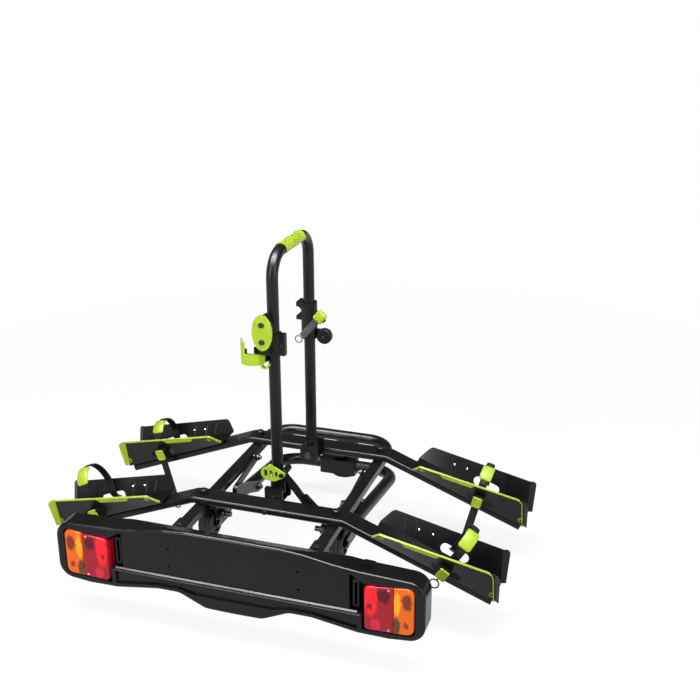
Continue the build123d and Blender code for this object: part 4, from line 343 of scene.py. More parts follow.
def add_piece(name, verts, faces, material, body, slot, smooth=True):
    """A mesh piece that rides on a body; points in the same place are joined."""
    mesh = bpy.data.meshes.new(name)
    mesh.from_pydata([tuple(v) for v in verts], [], faces)
    skin = bmesh.new()
    skin.from_mesh(mesh)
    bmesh.ops.remove_doubles(skin, verts=skin.verts, dist=1e-6)
    bmesh.ops.recalc_face_normals(skin, faces=skin.faces)
    skin.to_mesh(mesh)
    skin.free()
    mesh.materials.append(material)
    if smooth:
        mesh.shade_smooth()
    piece = bpy.data.objects.new(name, mesh)
    bpy.context.scene.collection.objects.link(piece)
    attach(piece, body)
    return piece


def ring_loft(rings):
    """Points and faces of a closed skin through rings of points of one count."""
    size = len(rings[0])
    verts = [point for ring in rings for point in ring]
    faces = []
    for i in range(len(rings) - 1):
        for j in range(size):
            k = (j + 1) % size
            faces.append((i * size + j, i * size + k, (i + 1) * size + k, (i + 1) * size + j))
    faces.append(tuple(range(size)))
    faces.append(tuple(range((len(rings) - 1) * size, len(rings) * size)))
    return verts, faces


def join_skins(skins):
    """Points and faces of several skins as one."""
    verts = []
    faces = []
    for skin_verts, skin_faces in skins:
        first = len(verts)
        verts += skin_verts
        faces += [tuple(first + i for i in face) for face in skin_faces]
    return verts, faces


def band_section(tooth, half=STRAP_HALF, thick=STRAP_HALF_THICK, tooth_half=TOOTH_HALF):
    """Across a band: distance from its middle and height over its middle layer."""
    edge = STRAP_EDGE
    return [
        (-half, -thick + edge), (-half + edge, -thick), (half - edge, -thick), (half, -thick + edge),
        (half, thick - edge), (half - edge, thick),
        (tooth_half + edge, thick), (tooth_half, thick + tooth),
        (-tooth_half, thick + tooth), (-tooth_half - edge, thick),
        (-half + edge, thick), (-half, thick - edge),
    ]


def arch_points(crown):
    """The strap's line from the rear wall over the tray to the front wall, across and above the wing."""
    return [
        (TAIL_Y, 0.004), (-0.048, 0.012), (-0.0405, 0.018), (-0.036, 0.028), (-0.040, 0.046),
        (-0.044, crown - 0.034), (-0.034, crown - 0.012), (-0.010, crown), (0.018, crown - 0.006),
        (0.038, crown - 0.034), (0.040, 0.046), (0.036, 0.028), (0.0405, 0.018), (0.048, 0.012),
    ]


def wire_ring(centre, axis_a, axis_b, radius, wire, turns=40, sides=10):
    """Skin of a ring of bent wire that lies in the plane of two axes."""
    centre = Vector(centre)
    axis_a = Vector(axis_a).normalized()
    axis_b = Vector(axis_b).normalized()
    axle = axis_a.cross(axis_b)
    verts = []
    faces = []
    for i in range(turns):
        reach = axis_a * cos(2 * pi * i / turns) + axis_b * sin(2 * pi * i / turns)
        for j in range(sides):
            angle = 2 * pi * j / sides
            verts.append(centre + reach * (radius + wire * cos(angle)) + axle * wire * sin(angle))
            k = (j + 1) % sides
            m = (i + 1) % turns
            faces.append((i * sides + j, i * sides + k, m * sides + k, m * sides + j))
    return verts, faces


def strap_spot(bar_y, side, lean, y, rise, across):
    """A point of a strap that leans outwards about a line just above the wing."""
    turn_x = STRAP_X + TURN_LIFT * (sin(WING) - sin(lean))
    turn_z = wing_top(STRAP_X) + TURN_LIFT * (cos(WING) - cos(lean))
    return (side * (turn_x + rise * sin(lean) + across * cos(lean)), bar_y + y,
            turn_z + rise * cos(lean) - across * sin(lean))


def strap_ring(bar_y, side, lean, place, along, section):
    """A section across a strap, set square to the strap's line."""
    return [
        strap_spot(bar_y, side, lean, place[0] - along[1] * height, place[1] + along[0] * height, across)
        for across, height in section
    ]


strap_skins = []
for bar_y, side, lean, crown, has_tail in (
    (BAR_FRONT_Y, 1, FRONT_LEAN, ARCH_LOW, True),
    (BAR_FRONT_Y, -1, FRONT_LEAN, ARCH_LOW, True),
    (BAR_REAR_Y, 1, REAR_LEAN_RIGHT, ARCH_HIGH, False),
    (BAR_REAR_Y, -1, REAR_LEAN_LEFT, ARCH_HIGH, False),
):
    stations = smooth_line(arch_points(crown), STRAP_STEP)
    if has_tail:
        drop = np.arange(TAIL_LOW, TAIL_HIGH, STRAP_STEP)
        stations = [(np.array((TAIL_Y, low)), np.array((0.0, 1.0))) for low in drop] + stations
    strap_skins.append(ring_loft([
        strap_ring(bar_y, side, lean, place, along, band_section(TOOTH_HIGH if i % 4 < 2 else 0.0))
        for i, (place, along) in enumerate(stations)
    ]))
    if has_tail:
        strap_skins.append(wire_ring(
            strap_spot(bar_y, side, lean, TAIL_Y, TAIL_LOW - EYE_DROP, 0),
            (side * sin(lean), 0, cos(lean)), (side * cos(lean), 0, -sin(lean)), EYE_RADIUS, EYE_WIRE))
straps = add_piece(
    "strap_bands", *join_skins(strap_skins), strap_rubber, "platform", "strap_rubber", smooth=False)
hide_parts("wheel_straps")

# Strap pads and buckle levers: lime nylon mouldings with rounded corners.
# A pad is threaded on each strap's shoulder. A lever has a raised rim round its thumb face
# and turns on its hinge pin with a barrel.
PAD_FROM = 0.33               # along the strap's arch, as a share of it
PAD_TO = 0.49
PAD_STEP = 0.0006
PAD_HALF = 0.0140
PAD_HALF_THICK = 0.0030
PAD_CORNER = 0.0055
PAD_CORNER_BITE = 0.8
PAD_END_ROUND = 0.0014
PAD_EDGE = 0.0018
LEVER_HALF = 0.0103
LEVER_HINGE = (-0.0569, 0.0280)
LEVER_HEAD = (-0.0612, 0.0325)
LEVER_FOOT = (-0.0566, 0.0048)
LEVER_RIM_OVER = 0.0006
LEVER_CORNER = 0.0058
LEVER_LAYERS = (
    (0.0020, -0.0030), (0.0004, -0.0024), (0, -0.0014), (0, 0.0001), (0.0007, 0.0009), (0.0022, 0.0009),
    (0.0030, 0.0002), (0.0060, 0.0004),
)
BARREL_R = 0.0033
BARREL_EDGE = 0.0005
BLOCK_LEAST_R = 0.0003


def lathe(profile, axis_start, axis_along, turns):
    """Points and faces of a turned piece; the profile is (radius, distance along the axis)."""
    axis = Vector(axis_along).normalized()
    side_a = axis.orthogonal().normalized()
    side_b = axis.cross(side_a)
    verts = []
    faces = []
    for radius, reach in profile:
        for j in range(turns):
            angle = 2 * pi * j / turns
            out = side_a * cos(angle) + side_b * sin(angle)
            verts.append(Vector(axis_start) + axis * reach + out * radius)
    for i in range(len(profile) - 1):
        for j in range(turns):
            k = (j + 1) % turns
            faces.append((i * turns + j, i * turns + k, (i + 1) * turns + k, (i + 1) * turns + j))
    return verts, faces


def block_skin(centre, along, across, half_long, half_wide, corner, layers, steps=4):
    """Skin of a block with rounded corners; a layer is its inset and its height over the centre."""
    centre = Vector(centre)
    along = Vector(along).normalized()
    across = Vector(across).normalized()
    out = along.cross(across)
    rings = []
    for inset, high in layers:
        radius = max(corner - inset, BLOCK_LEAST_R)
        ring = []
        for end, edge, start in ((-1, -1, pi), (1, -1, 1.5 * pi), (1, 1, 0.0), (-1, 1, 0.5 * pi)):
            middle = centre + out * high + along * end * (half_long - inset - radius)
            middle += across * edge * (half_wide - inset - radius)
            for k in range(steps):
                angle = start + 0.5 * pi * k / (steps - 1)
                ring.append(middle + along * radius * cos(angle) + across * radius * sin(angle))
        rings.append(ring)
    return ring_loft(rings)


def pad_section(half, thick):
    """Across a pad: distance from its middle and height over the strap's middle layer."""
    edge = min(PAD_EDGE, thick * 0.7)
    return [(-half, -thick + edge), (-half + edge, -thick), (half - edge, -thick), (half, -thick + edge),
            (half, thick - edge), (half - edge, thick), (-half + edge, thick), (-half, thick - edge)]


def rounding(radius, reach):
    """How far a rounded end falls back at a distance from the end."""
    return radius - (radius ** 2 - max(0.0, radius - reach) ** 2) ** 0.5


pad_skins = []
for bar_y, side, lean, crown, body in (
    (BAR_FRONT_Y, 1, FRONT_LEAN, ARCH_LOW, "buckle_front_right"),
    (BAR_FRONT_Y, -1, FRONT_LEAN, ARCH_LOW, "buckle_front_left"),
    (BAR_REAR_Y, 1, REAR_LEAN_RIGHT, ARCH_HIGH, "buckle_rear_right"),
    (BAR_REAR_Y, -1, REAR_LEAN_LEFT, ARCH_HIGH, "buckle_rear_left"),
):
    stations = smooth_line(arch_points(crown), PAD_STEP)
    stations = stations[round(PAD_FROM * len(stations)):round(PAD_TO * len(stations))]
    rings = []
    for i, (place, along) in enumerate(stations):
        reach = min(i, len(stations) - 1 - i) * PAD_STEP
        half = PAD_HALF - rounding(PAD_CORNER, reach) * PAD_CORNER_BITE
        thick = PAD_HALF_THICK - rounding(PAD_END_ROUND, reach)
        rings.append(strap_ring(bar_y, side, lean, place, along, pad_section(half, thick)))
    pad_skins.append(ring_loft(rings))

    head, foot, hinge = (
        Vector(strap_spot(bar_y, side, lean, *spot, 0)) for spot in (LEVER_HEAD, LEVER_FOOT, LEVER_HINGE))
    across = Vector(strap_spot(bar_y, side, lean, *LEVER_HINGE, 1)) - hinge
    up = head - foot
    if up.cross(across).y > 0:
        across = -across
    thumb_face = block_skin((head + foot) / 2, up, across, up.length / 2, LEVER_HALF + LEVER_RIM_OVER,
                            LEVER_CORNER, LEVER_LAYERS)
    barrel = lathe([
        (0, 0), (BARREL_R - BARREL_EDGE, 0), (BARREL_R, BARREL_EDGE),
        (BARREL_R, 2 * LEVER_HALF - BARREL_EDGE), (BARREL_R - BARREL_EDGE, 2 * LEVER_HALF),
        (0, 2 * LEVER_HALF),
    ], hinge - across.normalized() * LEVER_HALF, across, turns=18)
    lever = add_piece(body + "_lever", *join_skins([thumb_face, barrel]), lime_nylon, body, "lime_plastic")
    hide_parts(body)
pads = add_piece("strap_pads", *join_skins(pad_skins), lime_nylon, "platform", "lime_plastic")
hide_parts("rim_pads")

# Strap of the front clamp: a dark grey band with fine cross ribs, drawn through the buckle.
# Its lower end is folded round a bent wire ring.
grey_band = grained_finish(
    "grey_band", (0.040, 0.040, 0.042), (0.070, 0.070, 0.072), (0.42, 0.58), 1100.0, 0.00010)
coat(["front_clamp_strap"], grey_band)
CLAMP_STRAP_Y = -0.2633
BAND_HALF = 0.0080
BAND_HALF_THICK = 0.0009
BAND_RIB_HIGH = 0.0004
BAND_RIB_HALF = 0.0070
BAND_STEPS = 88
BAND_RING_MIDDLE = (-0.019, CLAMP_STRAP_Y, 0.430)
BAND_RING_RADIUS = 0.008
BAND_RING_WIRE = 0.0013
band_low = Vector((-0.0110, CLAMP_STRAP_Y, 0.4370))
band_high = Vector((0.0411, CLAMP_STRAP_Y, 0.4971))
rearwards = Vector((0, -1, 0))
band_along = (band_high - band_low).normalized()
band_across = band_along.cross(rearwards)
rings = []
for i in range(BAND_STEPS + 1):
    rib = BAND_RIB_HIGH if i % 3 else 0.0
    here = band_low + (band_high - band_low) * i / BAND_STEPS
    rings.append([
        here + band_across * across + rearwards * height
        for across, height in band_section(rib, BAND_HALF, BAND_HALF_THICK, BAND_RIB_HALF)
    ])
clamp_band = add_piece("clamp_band", *join_skins([
    ring_loft(rings), wire_ring(BAND_RING_MIDDLE, (1, 0, 0), (0, 0, 1), BAND_RING_RADIUS, BAND_RING_WIRE),
]), grey_band, "front_clamp", "grey_webbing", smooth=False)
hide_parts("front_clamp_strap")

# Buckle of the front clamp: a lime moulding with a raised pad, held between two black tabs.
# The tabs stick out at its upper left and lower right corners, where fingers press them.
BUCKLE_HALF_LONG = 0.0135
BUCKLE_HALF_WIDE = 0.0120
BUCKLE_CORNER = 0.0045
BUCKLE_LAYERS = (
    (0.0012, 0.0), (0, 0.0010), (0, 0.0055), (0.0008, 0.0066), (0.0030, 0.0072), (0.0036, 0.0086),
    (0.0050, 0.0090),
)
TAB_HALF_LONG = 0.0048
TAB_HALF_WIDE = 0.0030
TAB_CORNER = 0.0015
TAB_LAYERS = ((0, 0.0002), (0, 0.0040), (0.0008, 0.0050))
TAB_OUT = 0.0122
TAB_UP = 0.001
buckle_middle = Vector((0.034, -0.2646, 0.489))
lime_buckle = add_piece("clamp_buckle_block", *block_skin(
    buckle_middle, band_along, -band_across, BUCKLE_HALF_LONG, BUCKLE_HALF_WIDE, BUCKLE_CORNER, BUCKLE_LAYERS,
), lime_nylon, "front_clamp", "lime_plastic")
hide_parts("front_clamp_buckle")
for name, end in (("clamp_tab_upper", 1), ("clamp_tab_lower", -1)):
    add_piece(name, *block_skin(
        buckle_middle - band_across * end * TAB_OUT + band_along * end * TAB_UP, band_along, -band_across,
        TAB_HALF_LONG, TAB_HALF_WIDE, TAB_CORNER, TAB_LAYERS,
    ), moulded_black, "front_clamp", "black_plastic")

# Grip: a lime sleeve clipped over the top of the hoop, with a raised collar at each end.
# It is open along its underside, where the black tube shows.
GRIP_BORE = 0.0126
GRIP_PROFILE = (              # radius, distance from the end
    (GRIP_BORE, 0.0000), (0.0142, 0.0000), (0.0149, 0.0006), (0.0150, 0.0016), (0.0149, 0.0040),
    (0.0141, 0.0062), (0.0137, 0.0090), (0.0137, 0.0300), (0.0138, 0.0535),
)
GRIP_LONG = 0.107
GRIP_REAR_Y = -0.403
GRIP_HUG = radians(118)
GRIP_STEPS = 40
GRIP_EDGE = 0.0006
HOOP_TOP_Z = 0.676
profile = list(GRIP_PROFILE)
profile += [(radius, GRIP_LONG - reach) for radius, reach in reversed(GRIP_PROFILE[:-1])]
rings = []
for i in range(GRIP_STEPS + 1):
    angle = GRIP_HUG * (2 * i / GRIP_STEPS - 1)
    edge = GRIP_EDGE if i in (0, GRIP_STEPS) else 0.0
    rings.append([
        (sin(angle) * (radius - edge * (radius > GRIP_BORE)), GRIP_REAR_Y + reach,
         HOOP_TOP_Z + cos(angle) * (radius - edge * (radius > GRIP_BORE)))
        for radius, reach in profile
    ])
grip = add_piece("grip_sleeve", *ring_loft(rings), lime_nylon, "hoop", "lime_plastic")
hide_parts("hoop_grip")

# Light board: one deep black moulding, with a plate panel, channels and lamp cases set in it.
# A bezel in front frames the long window, its ledge and the hollow band below it. The plastic is satin.
board_black = grained_finish(
    "board_black", (0.004, 0.004, 0.005), (0.007, 0.007, 0.008), (0.22, 0.32), 1300.0, 0.00006,
    shine=0.22)
coat(["board_housing", "board_bezel", "plate_panel", "plate_channels", "lamp_cases"], board_black)
BOARD_FRONT_Y = -0.710

# Ledge of the light board: a bevelled lip under the plate panel and a thin bead below it.
# They are moulded with the bezel, run from lamp to lamp and catch the light as two fine lines.
LIP_REACH = 0.262
BEAD_REACH = 0.268
LIP_SECTION = (               # y, z
    (-0.7062, 0.0556), (-0.7066, 0.0572), (-0.7072, 0.0573), (-0.7106, 0.0551), (-0.7107, 0.0545),
    (-0.7098, 0.0543),
)
BEAD_SECTION = (
    (-0.7096, 0.0508), (-0.7101, 0.0509), (-0.7113, 0.0499), (-0.7113, 0.0495), (-0.7096, 0.0491))
for name, section, reach in (
    ("ledge_lip", LIP_SECTION, LIP_REACH), ("ledge_bead", BEAD_SECTION, BEAD_REACH),
):
    rings = [[(x, y, z) for y, z in section] for x in (-reach, 0.0, reach)]
    add_piece(name, *ring_loft(rings), board_black, "platform", "black_plastic", smooth=False)

# Lenses: clear red and amber plastic over the lamps, with prisms that break the light into blocks.
# The red one has a skirt on its inner side that reaches back into the board.
LAMP_IN_X = 0.2770
LAMP_SPLIT_X = 0.3359
LAMP_OUT_X = 0.3761
LAMP_SPLIT_GAP = 0.0003
LAMP_LOW_Z = 0.022
LAMP_HIGH_Z = 0.119
LAMP_LOW_RISE = 0.03
LAMP_HIGH_RISE = 0.075
LENS_BACK_Y = BOARD_FRONT_Y + 0.006
LENS_THICK = 0.008
LENS_LAYERS = (               # inset, share of the lens's depth
    (0, 0), (0, 0.6), (0.0004, 0.82), (0.0012, 0.95), (0.0026, 1.0), (0.012, 1.0))
RED_ROUND_R = 0.009
AMBER_ROUND_R = 0.013
LENS_SHARP_R = 0.0008
LENS_LEAST_R = 0.0006
SKIRT_BACK_Y = -0.6845
SKIRT_WIDE = 0.0020
SKIRT_CLEAR = 0.0085          # from the lens's upper and lower edge
SKIRT_SPLAY = 0.004
PAINTED_POOL_SHIFT = 0.004            # half of the wavering, which only adds


def lens_finish(name, body_tint, painted_light_pools):
    """Coloured clear plastic over a lamp, with painted pools of light and shade that stand for its reflector
    and bulb.
    A painted pool is its middle (x, z), its half width and half height, and its tint."""
    material = bpy.data.materials.new(name)
    material.use_nodes = True
    tree = material.node_tree
    shader = tree.nodes["Principled BSDF"]
    place = tree.nodes.new("ShaderNodeTexCoord")
    waver = tree.nodes.new("ShaderNodeTexNoise")
    waver.inputs["Scale"].default_value = 120.0
    waver.inputs["Detail"].default_value = 1.0
    shift = tree.nodes.new("ShaderNodeVectorMath")
    shift.operation = "MULTIPLY_ADD"
    shift.inputs[1].default_value = (2 * PAINTED_POOL_SHIFT, 0.0, 2 * PAINTED_POOL_SHIFT)
    spread = tree.nodes.new("ShaderNodeVectorMath")
    spread.operation = "ABSOLUTE"
    tree.links.new(place.outputs["Object"], waver.inputs["Vector"])
    tree.links.new(place.outputs["Object"], spread.inputs[0])
    tree.links.new(waver.outputs["Color"], shift.inputs[0])
    tree.links.new(spread.outputs["Vector"], shift.inputs[2])
    tint = None
    for x, z, half_wide, half_high, painted_pool_tint in painted_light_pools:
        reach = tree.nodes.new("ShaderNodeVectorMath")
        reach.operation = "SUBTRACT"
        reach.inputs[1].default_value = (x + PAINTED_POOL_SHIFT, 0.0, z + PAINTED_POOL_SHIFT)
        share = tree.nodes.new("ShaderNodeVectorMath")
        share.operation = "MULTIPLY"
        share.inputs[1].default_value = (1 / half_wide, 0.0, 1 / half_high)
        far = tree.nodes.new("ShaderNodeVectorMath")
        far.operation = "LENGTH"
        edge = tree.nodes.new("ShaderNodeMapRange")
        edge.interpolation_type = "SMOOTHSTEP"
        edge.inputs["From Min"].default_value = 1.25
        edge.inputs["From Max"].default_value = 0.70
        mix = tree.nodes.new("ShaderNodeMix")
        mix.data_type = "RGBA"
        mix.inputs[7].default_value = (*painted_pool_tint, 1)
        tree.links.new(shift.outputs["Vector"], reach.inputs[0])
        tree.links.new(reach.outputs["Vector"], share.inputs[0])
        tree.links.new(share.outputs["Vector"], far.inputs[0])
        tree.links.new(far.outputs["Value"], edge.inputs["Value"])
        tree.links.new(edge.outputs["Result"], mix.inputs[0])
        if tint:
            tree.links.new(tint.outputs[2], mix.inputs[6])
        else:
            mix.inputs[6].default_value = (*body_tint, 1)
        tint = mix
    ribs = tree.nodes.new("ShaderNodeTexWave")
    ribs.bands_direction = "X"
    ribs.inputs["Scale"].default_value = 110.0
    bump = tree.nodes.new("ShaderNodeBump")
    bump.inputs["Strength"].default_value = 0.25
    bump.inputs["Distance"].default_value = 0.0002
    tree.links.new(tint.outputs[2], shader.inputs["Base Color"])
    # The tint also feeds a faint emission: a painted glow that stands for light the lens throws back.
    tree.links.new(tint.outputs[2], shader.inputs["Emission Color"])
    tree.links.new(place.outputs["Object"], ribs.inputs["Vector"])
    tree.links.new(ribs.outputs["Fac"], bump.inputs["Height"])
    tree.links.new(bump.outputs["Normal"], shader.inputs["Normal"])
    shader.inputs["Emission Strength"].default_value = 0.25
    shader.inputs["Roughness"].default_value = 0.14
    shader.inputs["Specular IOR Level"].default_value = 0.2
    shader.inputs["Coat Weight"].default_value = 0.1
    shader.inputs["Coat Roughness"].default_value = 0.04
    return material


def lens_low(x):
    """Lower edge of the lamp's lens."""
    return LAMP_LOW_Z + (x - LAMP_IN_X) * LAMP_LOW_RISE


def lens_high(x):
    """Upper edge of the lamp's lens."""
    return LAMP_HIGH_Z + (x - LAMP_IN_X) * LAMP_HIGH_RISE


def pillow(low_x, high_x, corner_rs, steps=5):
    """Rings of a lens with rounded corners and a soft front edge; corner_rs start at low X, low Z."""
    rings = []
    for inset, depth in LENS_LAYERS:
        ring = []
        spots = ((low_x, lens_low(low_x), pi), (high_x, lens_low(high_x), 1.5 * pi),
                 (high_x, lens_high(high_x), 0.0), (low_x, lens_high(low_x), 0.5 * pi))
        for (x, z, start), radius in zip(spots, corner_rs):
            r = max(radius - inset, LENS_LEAST_R)
            centre_x = x + (inset + r if x == low_x else -inset - r)
            centre_z = z + (inset + r if start >= pi else -inset - r)
            for k in range(steps):
                angle = start + 0.5 * pi * k / (steps - 1)
                ring.append((
                    centre_x + r * cos(angle), LENS_BACK_Y - LENS_THICK * depth, centre_z + r * sin(angle)))
        rings.append(ring)
    return rings


# The pools of light and shade in both lenses are painted into their colour, and so is their faint glow.
red_plastic = lens_finish("red_plastic", (0.34, 0.008, 0.018), (
    (0.291, 0.094, 0.0130, 0.040, (1.0, 0.012, 0.030)),
    (0.317, 0.103, 0.0125, 0.015, (0.10, 0.002, 0.006)),
    (0.300, 0.037, 0.0110, 0.013, (0.62, 0.016, 0.045)),
    (0.288, 0.076, 0.0050, 0.008, (0.24, 0.010, 0.010)),
))
amber_plastic = lens_finish("amber_plastic", (0.80, 0.13, 0.006), (
    (0.343, 0.090, 0.0068, 0.027, (1.0, 0.40, 0.008)),
    (0.363, 0.097, 0.0100, 0.018, (0.22, 0.030, 0.006)),
    (0.342, 0.042, 0.0075, 0.020, (0.10, 0.055, 0.012)),
    (0.361, 0.046, 0.0060, 0.007, (0.26, 0.040, 0.014)),
))
for side in (1, -1):
    low_z, high_z = LAMP_LOW_Z + SKIRT_CLEAR, LAMP_HIGH_Z - SKIRT_CLEAR
    rings = []
    for y, inset in (
        (SKIRT_BACK_Y, -0.0005), (LENS_BACK_Y + 0.001, -0.0005), (LENS_BACK_Y - 0.003, 0.0002),
    ):
        face_x, side_x = side * (LAMP_IN_X + inset), side * (LAMP_IN_X + SKIRT_WIDE)
        rings.append([(face_x, y, low_z), (face_x, y, high_z),
                      (side_x, y, high_z + SKIRT_SPLAY), (side_x, y, low_z - SKIRT_SPLAY)])
    add_piece("lens_skirt_" + ("right" if side > 0 else "left"), *ring_loft(rings), red_plastic, "platform",
              "red_lens", smooth=False)
for name, node, slot, low, high, radii, material in (
    ("red_lens_blocks", "red_lenses", "red_lens", LAMP_IN_X, LAMP_SPLIT_X - LAMP_SPLIT_GAP,
     (RED_ROUND_R, LENS_SHARP_R, LENS_SHARP_R, RED_ROUND_R), red_plastic),
    ("amber_lens_blocks", "amber_lenses", "amber_lens", LAMP_SPLIT_X + LAMP_SPLIT_GAP, LAMP_OUT_X,
     (LENS_SHARP_R, AMBER_ROUND_R, AMBER_ROUND_R, LENS_SHARP_R), amber_plastic),
):
    lens_verts, lens_faces = ring_loft(pillow(low, high, radii))
    both_lamps = join_skins([
        ([(side * x, y, z) for x, y, z in lens_verts], lens_faces) for side in (1, -1)])
    piece = add_piece(name, *both_lamps, material, "platform", slot)
    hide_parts(node)

# Lens screws: each lamp is held by two bright screws, one near the top and one near the bottom.
# They are plated steel with a domed head and a round drive recess.
LENS_SCREW_X = 0.3262
LENS_SCREWS_Z = (0.0290, 0.1172)
LENS_SCREW_R = 0.0028
LENS_SCREW_HIGH = 0.0012
LENS_SCREW_SINK = 0.0009


def socket_head(radius, high):
    """Profile of a domed screw head with a round drive recess."""
    return [
        (0, high * 0.35), (radius * 0.36, high * 0.35), (radius * 0.40, high * 0.97), (radius * 0.62, high),
        (radius * 0.86, high * 0.72), (radius, high * 0.2), (radius, -high * 0.1), (0, -high * 0.1),
    ]


bright_screw = grained_finish(
    "bright_screw", (0.50, 0.50, 0.51), (0.68, 0.68, 0.69), (0.18, 0.30), 2500.0, 0.00003,
    metal=1.0, patch=80.0)
lens_face_y = LENS_BACK_Y - LENS_THICK
add_piece("lens_screws", *join_skins([
    lathe(socket_head(LENS_SCREW_R, LENS_SCREW_HIGH),
          (side * LENS_SCREW_X, lens_face_y + LENS_SCREW_SINK, z), (0, -1, 0), turns=16)
    for side in (1, -1) for z in LENS_SCREWS_Z
]), bright_screw, "platform", "zinc_steel")

# Small wheels: solid rubber tyres with three tread grooves, dusty at the tread, on moulded hubs.
# They carry the folded carrier when it is wheeled about.
tyre_rubber = grained_finish(
    "tyre_rubber", (0.012, 0.012, 0.012), (0.034, 0.033, 0.031), (0.55, 0.75), 700.0, 0.0003, patch=60.0)
WHEEL_X = 0.149
AXLE_Y = -0.490
AXLE_Z = 0.066
TREAD_HALF = [                # radius, distance from the tyre's middle
    (0.0308, 0.0006), (0.0320, 0.0012), (0.0320, 0.0072), (0.0308, 0.0078), (0.0308, 0.0090), (0.0320, 0.0096),
    (0.0318, 0.0118), (0.0310, 0.0142), (0.0290, 0.0156), (0.0262, 0.0158), (0.0255, 0.0162), (0.0192, 0.0162),
]
tread = [(radius, -reach) for radius, reach in reversed(TREAD_HALF)] + TREAD_HALF
tread.append(tread[0])
for side, word in ((1, "right"), (-1, "left")):
    tyre = add_piece(
        "tread_" + word, *lathe(tread, (side * WHEEL_X, AXLE_Y, AXLE_Z), (1, 0, 0), turns=72),
        tyre_rubber, "wheel_" + word, "tyre_rubber")
    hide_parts("tyre_" + word)

# Tray screws: two small plated screws through each far tray wall hold the trim's clips.
# Each has its domed head inside the tray and a plug behind it that fills the hole.
WALL_SCREW_X = (0.320, 0.350)
TRAY_KINK_X = 0.262
TRAY_END_X = 0.498
TRAY_KINK_Z = wing_top(TRAY_KINK_X) + 0.0363
TRAY_END_Z = wing_top(TRAY_END_X) + 0.0766
TRAY_FLOOR_HALF = 0.033
TRAY_LIFT = 0.0036
TRAY_WALL = 0.0026
EDGE_HALF_IN = 0.056
EDGE_HALF_OUT = 0.051
SCREW_DROP = 0.019
WALL_SCREW_R = 0.0027
WALL_SCREW_HIGH = 0.0016
PLUG_R = 0.0034
PLUG_LONG = 0.0022
PLUG_GAP = 0.0002


def tray_edge(x):
    """Height of the tray's upper edge."""
    return TRAY_KINK_Z - (x - TRAY_KINK_X) * (TRAY_KINK_Z - TRAY_END_Z) / (TRAY_END_X - TRAY_KINK_X)


def tray_lean(x):
    """Sideways run of the tray's wall for each metre up."""
    share = (x - TRAY_KINK_X) / (TRAY_END_X - TRAY_KINK_X)
    half = EDGE_HALF_IN + share * (EDGE_HALF_OUT - EDGE_HALF_IN)
    return (half - TRAY_FLOOR_HALF) / (tray_edge(x) - wing_top(x) - TRAY_LIFT)


def wall_middle(x, z):
    """Distance from the tray's centre line to the middle of its wall at a height."""
    return TRAY_FLOOR_HALF + (z - wing_top(x) - TRAY_LIFT) * tray_lean(x) - TRAY_WALL / 2


tray_screw_skins = []
for bar_y in (BAR_FRONT_Y, BAR_REAR_Y):
    for side in (1, -1):
        for x in WALL_SCREW_X:
            z = tray_edge(x) - SCREW_DROP
            inward = Vector((0, -1, tray_lean(x))).normalized()
            spot = Vector((side * x, bar_y + wall_middle(x, z), z)) + inward * TRAY_WALL / 2
            plug = spot - inward * (TRAY_WALL + PLUG_GAP)
            tray_screw_skins.append(
                lathe(socket_head(WALL_SCREW_R, WALL_SCREW_HIGH), spot, inward, turns=16))
            tray_screw_skins.append(
                lathe([(0, 0), (PLUG_R, 0), (PLUG_R, PLUG_LONG), (0, PLUG_LONG)], plug, inward, turns=16))
add_piece("tray_screws", *join_skins(tray_screw_skins), bright_screw, "platform", "zinc_steel")

# Tray trim: a thin lime strip clipped over the rear wall's edge, wider along its middle for a hand.
# It rounds the wall's outer corner, and a bent wire eye hangs near each end.
# On the left it ends at the corner, and a lime plate covers the flared rim.
TRAY_IN_X = 0.238
TRIM_THICK = 0.0016
TRIM_OVER = 0.0008
TRIM_DEEP = 0.0015
TRIM_BAND_DEEP = 0.0105
TRIM_BAND = (0.308, 0.389)
TRIM_RAMP = 0.008
TRIM_CORNER = 0.013
FLARE_TURN = radians(36)
FLARE_WIDE = 0.015
FLARE_FOOT_WIDE = 0.0105
FLARE_CORNER = 0.009
FLARE_TUCK = 0.0015
TRIM_EDGE = 0.0004
TRIM_CLEAR = 0.0001           # between the strip and the wall
ROUNDING = (0, 0.2, 0.4, 0.6, 0.8, 1)
TRIM_EYE_RADIUS = 0.0045
TRIM_EYE_WIRE = 0.0009


def outer_face(bar_y, x, z, out):
    """A point at a height on the outer face of a tray's rear wall, moved out of it."""
    lean = tray_lean(x)
    away = Vector((0, -1, -lean)).normalized()
    return Vector((x, bar_y - TRAY_FLOOR_HALF - (z - wing_top(x) - TRAY_LIFT) * lean, z)) + away * out


def flare_cover(bar_y):
    """Lime plate over the rear face of the flared rim at the tray's outer end, for the right-hand side."""
    low_z = wing_top(TRAY_END_X) + TRAY_LIFT + 0.004
    foot = outer_face(bar_y, TRAY_END_X, low_z, 0)
    head = outer_face(bar_y, TRAY_END_X, TRAY_END_Z, 0)
    spread = Vector((cos(FLARE_TURN), -sin(FLARE_TURN), 0))
    up = (head - foot).normalized()
    away = up.cross(spread)
    if away.y > 0:
        away = -away
    corner = head + spread * FLARE_WIDE
    outline = [foot - spread * FLARE_TUCK, head - spread * FLARE_TUCK]
    outline += [
        (corner - spread * FLARE_CORNER).lerp(corner, s)
        .lerp(corner.lerp(corner - up * FLARE_CORNER, s), s)
        for s in ROUNDING
    ]
    outline.append(foot + spread * FLARE_FOOT_WIDE)
    return ring_loft([[point + away * out for point in outline] for out in (TRIM_CLEAR, TRIM_THICK)])


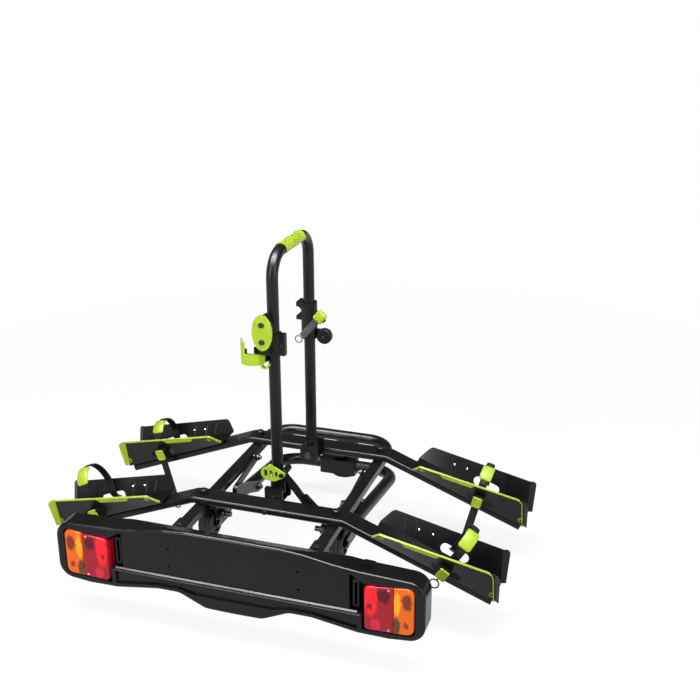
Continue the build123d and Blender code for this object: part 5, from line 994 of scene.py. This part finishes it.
def trim_line(round_end):
    """Points (x, z) along the wall's outline, each with its direction and the strip's depth.
    With round_end the strip runs on down the wall's outer end."""
    corners = [
        (TRAY_IN_X + 0.003, wing_top(TRAY_IN_X) + TRAY_LIFT + 0.004), (TRAY_KINK_X, TRAY_KINK_Z),
        (TRAY_END_X - 0.001, TRAY_END_Z),
        (TRAY_END_X - 0.001, wing_top(TRAY_END_X) + TRAY_LIFT + 0.001),
    ]
    spots = [Vector(corners[0])]
    for before, here, after, radius in zip(corners, corners[1:], corners[2:], (0.004, TRIM_CORNER)):
        here = Vector(here)
        start = here + (Vector(before) - here).normalized() * radius
        end = here + (Vector(after) - here).normalized() * radius
        run = (start - spots[-1]).length
        spots += [spots[-1].lerp(start, k / round(run / 0.002)) for k in range(1, round(run / 0.002))]
        spots += [start.lerp(here, s).lerp(here.lerp(end, s), s) for s in ROUNDING]
    if round_end:
        spots += [spots[-1].lerp(Vector(corners[3]), k / 10) for k in range(1, 11)]
    else:
        spots = spots[:-len(ROUNDING)] + [Vector(corners[2])]
    line = []
    for i, spot in enumerate(spots):
        along = (spots[min(i + 1, len(spots) - 1)] - spots[max(i - 1, 0)]).normalized()
        ramp = min(max(min(spot.x - TRIM_BAND[0], TRIM_BAND[1] - spot.x) / TRIM_RAMP, 0.0), 1.0)
        line.append((spot, along, TRIM_DEEP + (TRIM_BAND_DEEP - TRIM_DEEP) * ramp))
    return line


trim_skins = []
for bar_y in (BAR_FRONT_Y, BAR_REAR_Y):
    for side in (1, -1):
        rings = []
        for spot, along, deep in trim_line(side > 0):
            inwards = Vector((along.y, -along.x))
            ring = []
            for reach, out in (
                (-TRIM_OVER, TRIM_THICK), (deep - TRIM_EDGE, TRIM_THICK), (deep, TRIM_THICK - TRIM_EDGE),
                (deep, TRIM_CLEAR), (-TRIM_CLEAR, TRIM_CLEAR), (-TRIM_CLEAR, -TRAY_WALL),
                (-TRIM_OVER, -TRAY_WALL),
            ):
                at = spot + inwards * reach
                point = outer_face(bar_y, at.x, at.y, out)
                ring.append((side * point.x, point.y, point.z))
            rings.append(ring)
        trim_skins.append(ring_loft(rings))
        if side < 0:
            verts, faces = flare_cover(bar_y)
            trim_skins.append(([(-point.x, point.y, point.z) for point in verts], faces))
        for x, z in (
            (TRAY_KINK_X + 0.004, TRAY_KINK_Z - 0.0095),
            (TRAY_END_X - 0.005, wing_top(TRAY_END_X) + 0.0225),
        ):
            point = outer_face(bar_y, x, z, TRIM_EYE_WIRE)
            trim_skins.append(wire_ring(
                (side * point.x, point.y, point.z), (1, 0, 0), (0, -tray_lean(x), 1),
                TRIM_EYE_RADIUS, TRIM_EYE_WIRE, turns=28, sides=8))
trims = add_piece(
    "trim_strips", *join_skins(trim_skins), lime_nylon, "platform", "lime_plastic", smooth=False)
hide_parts("tray_trims")
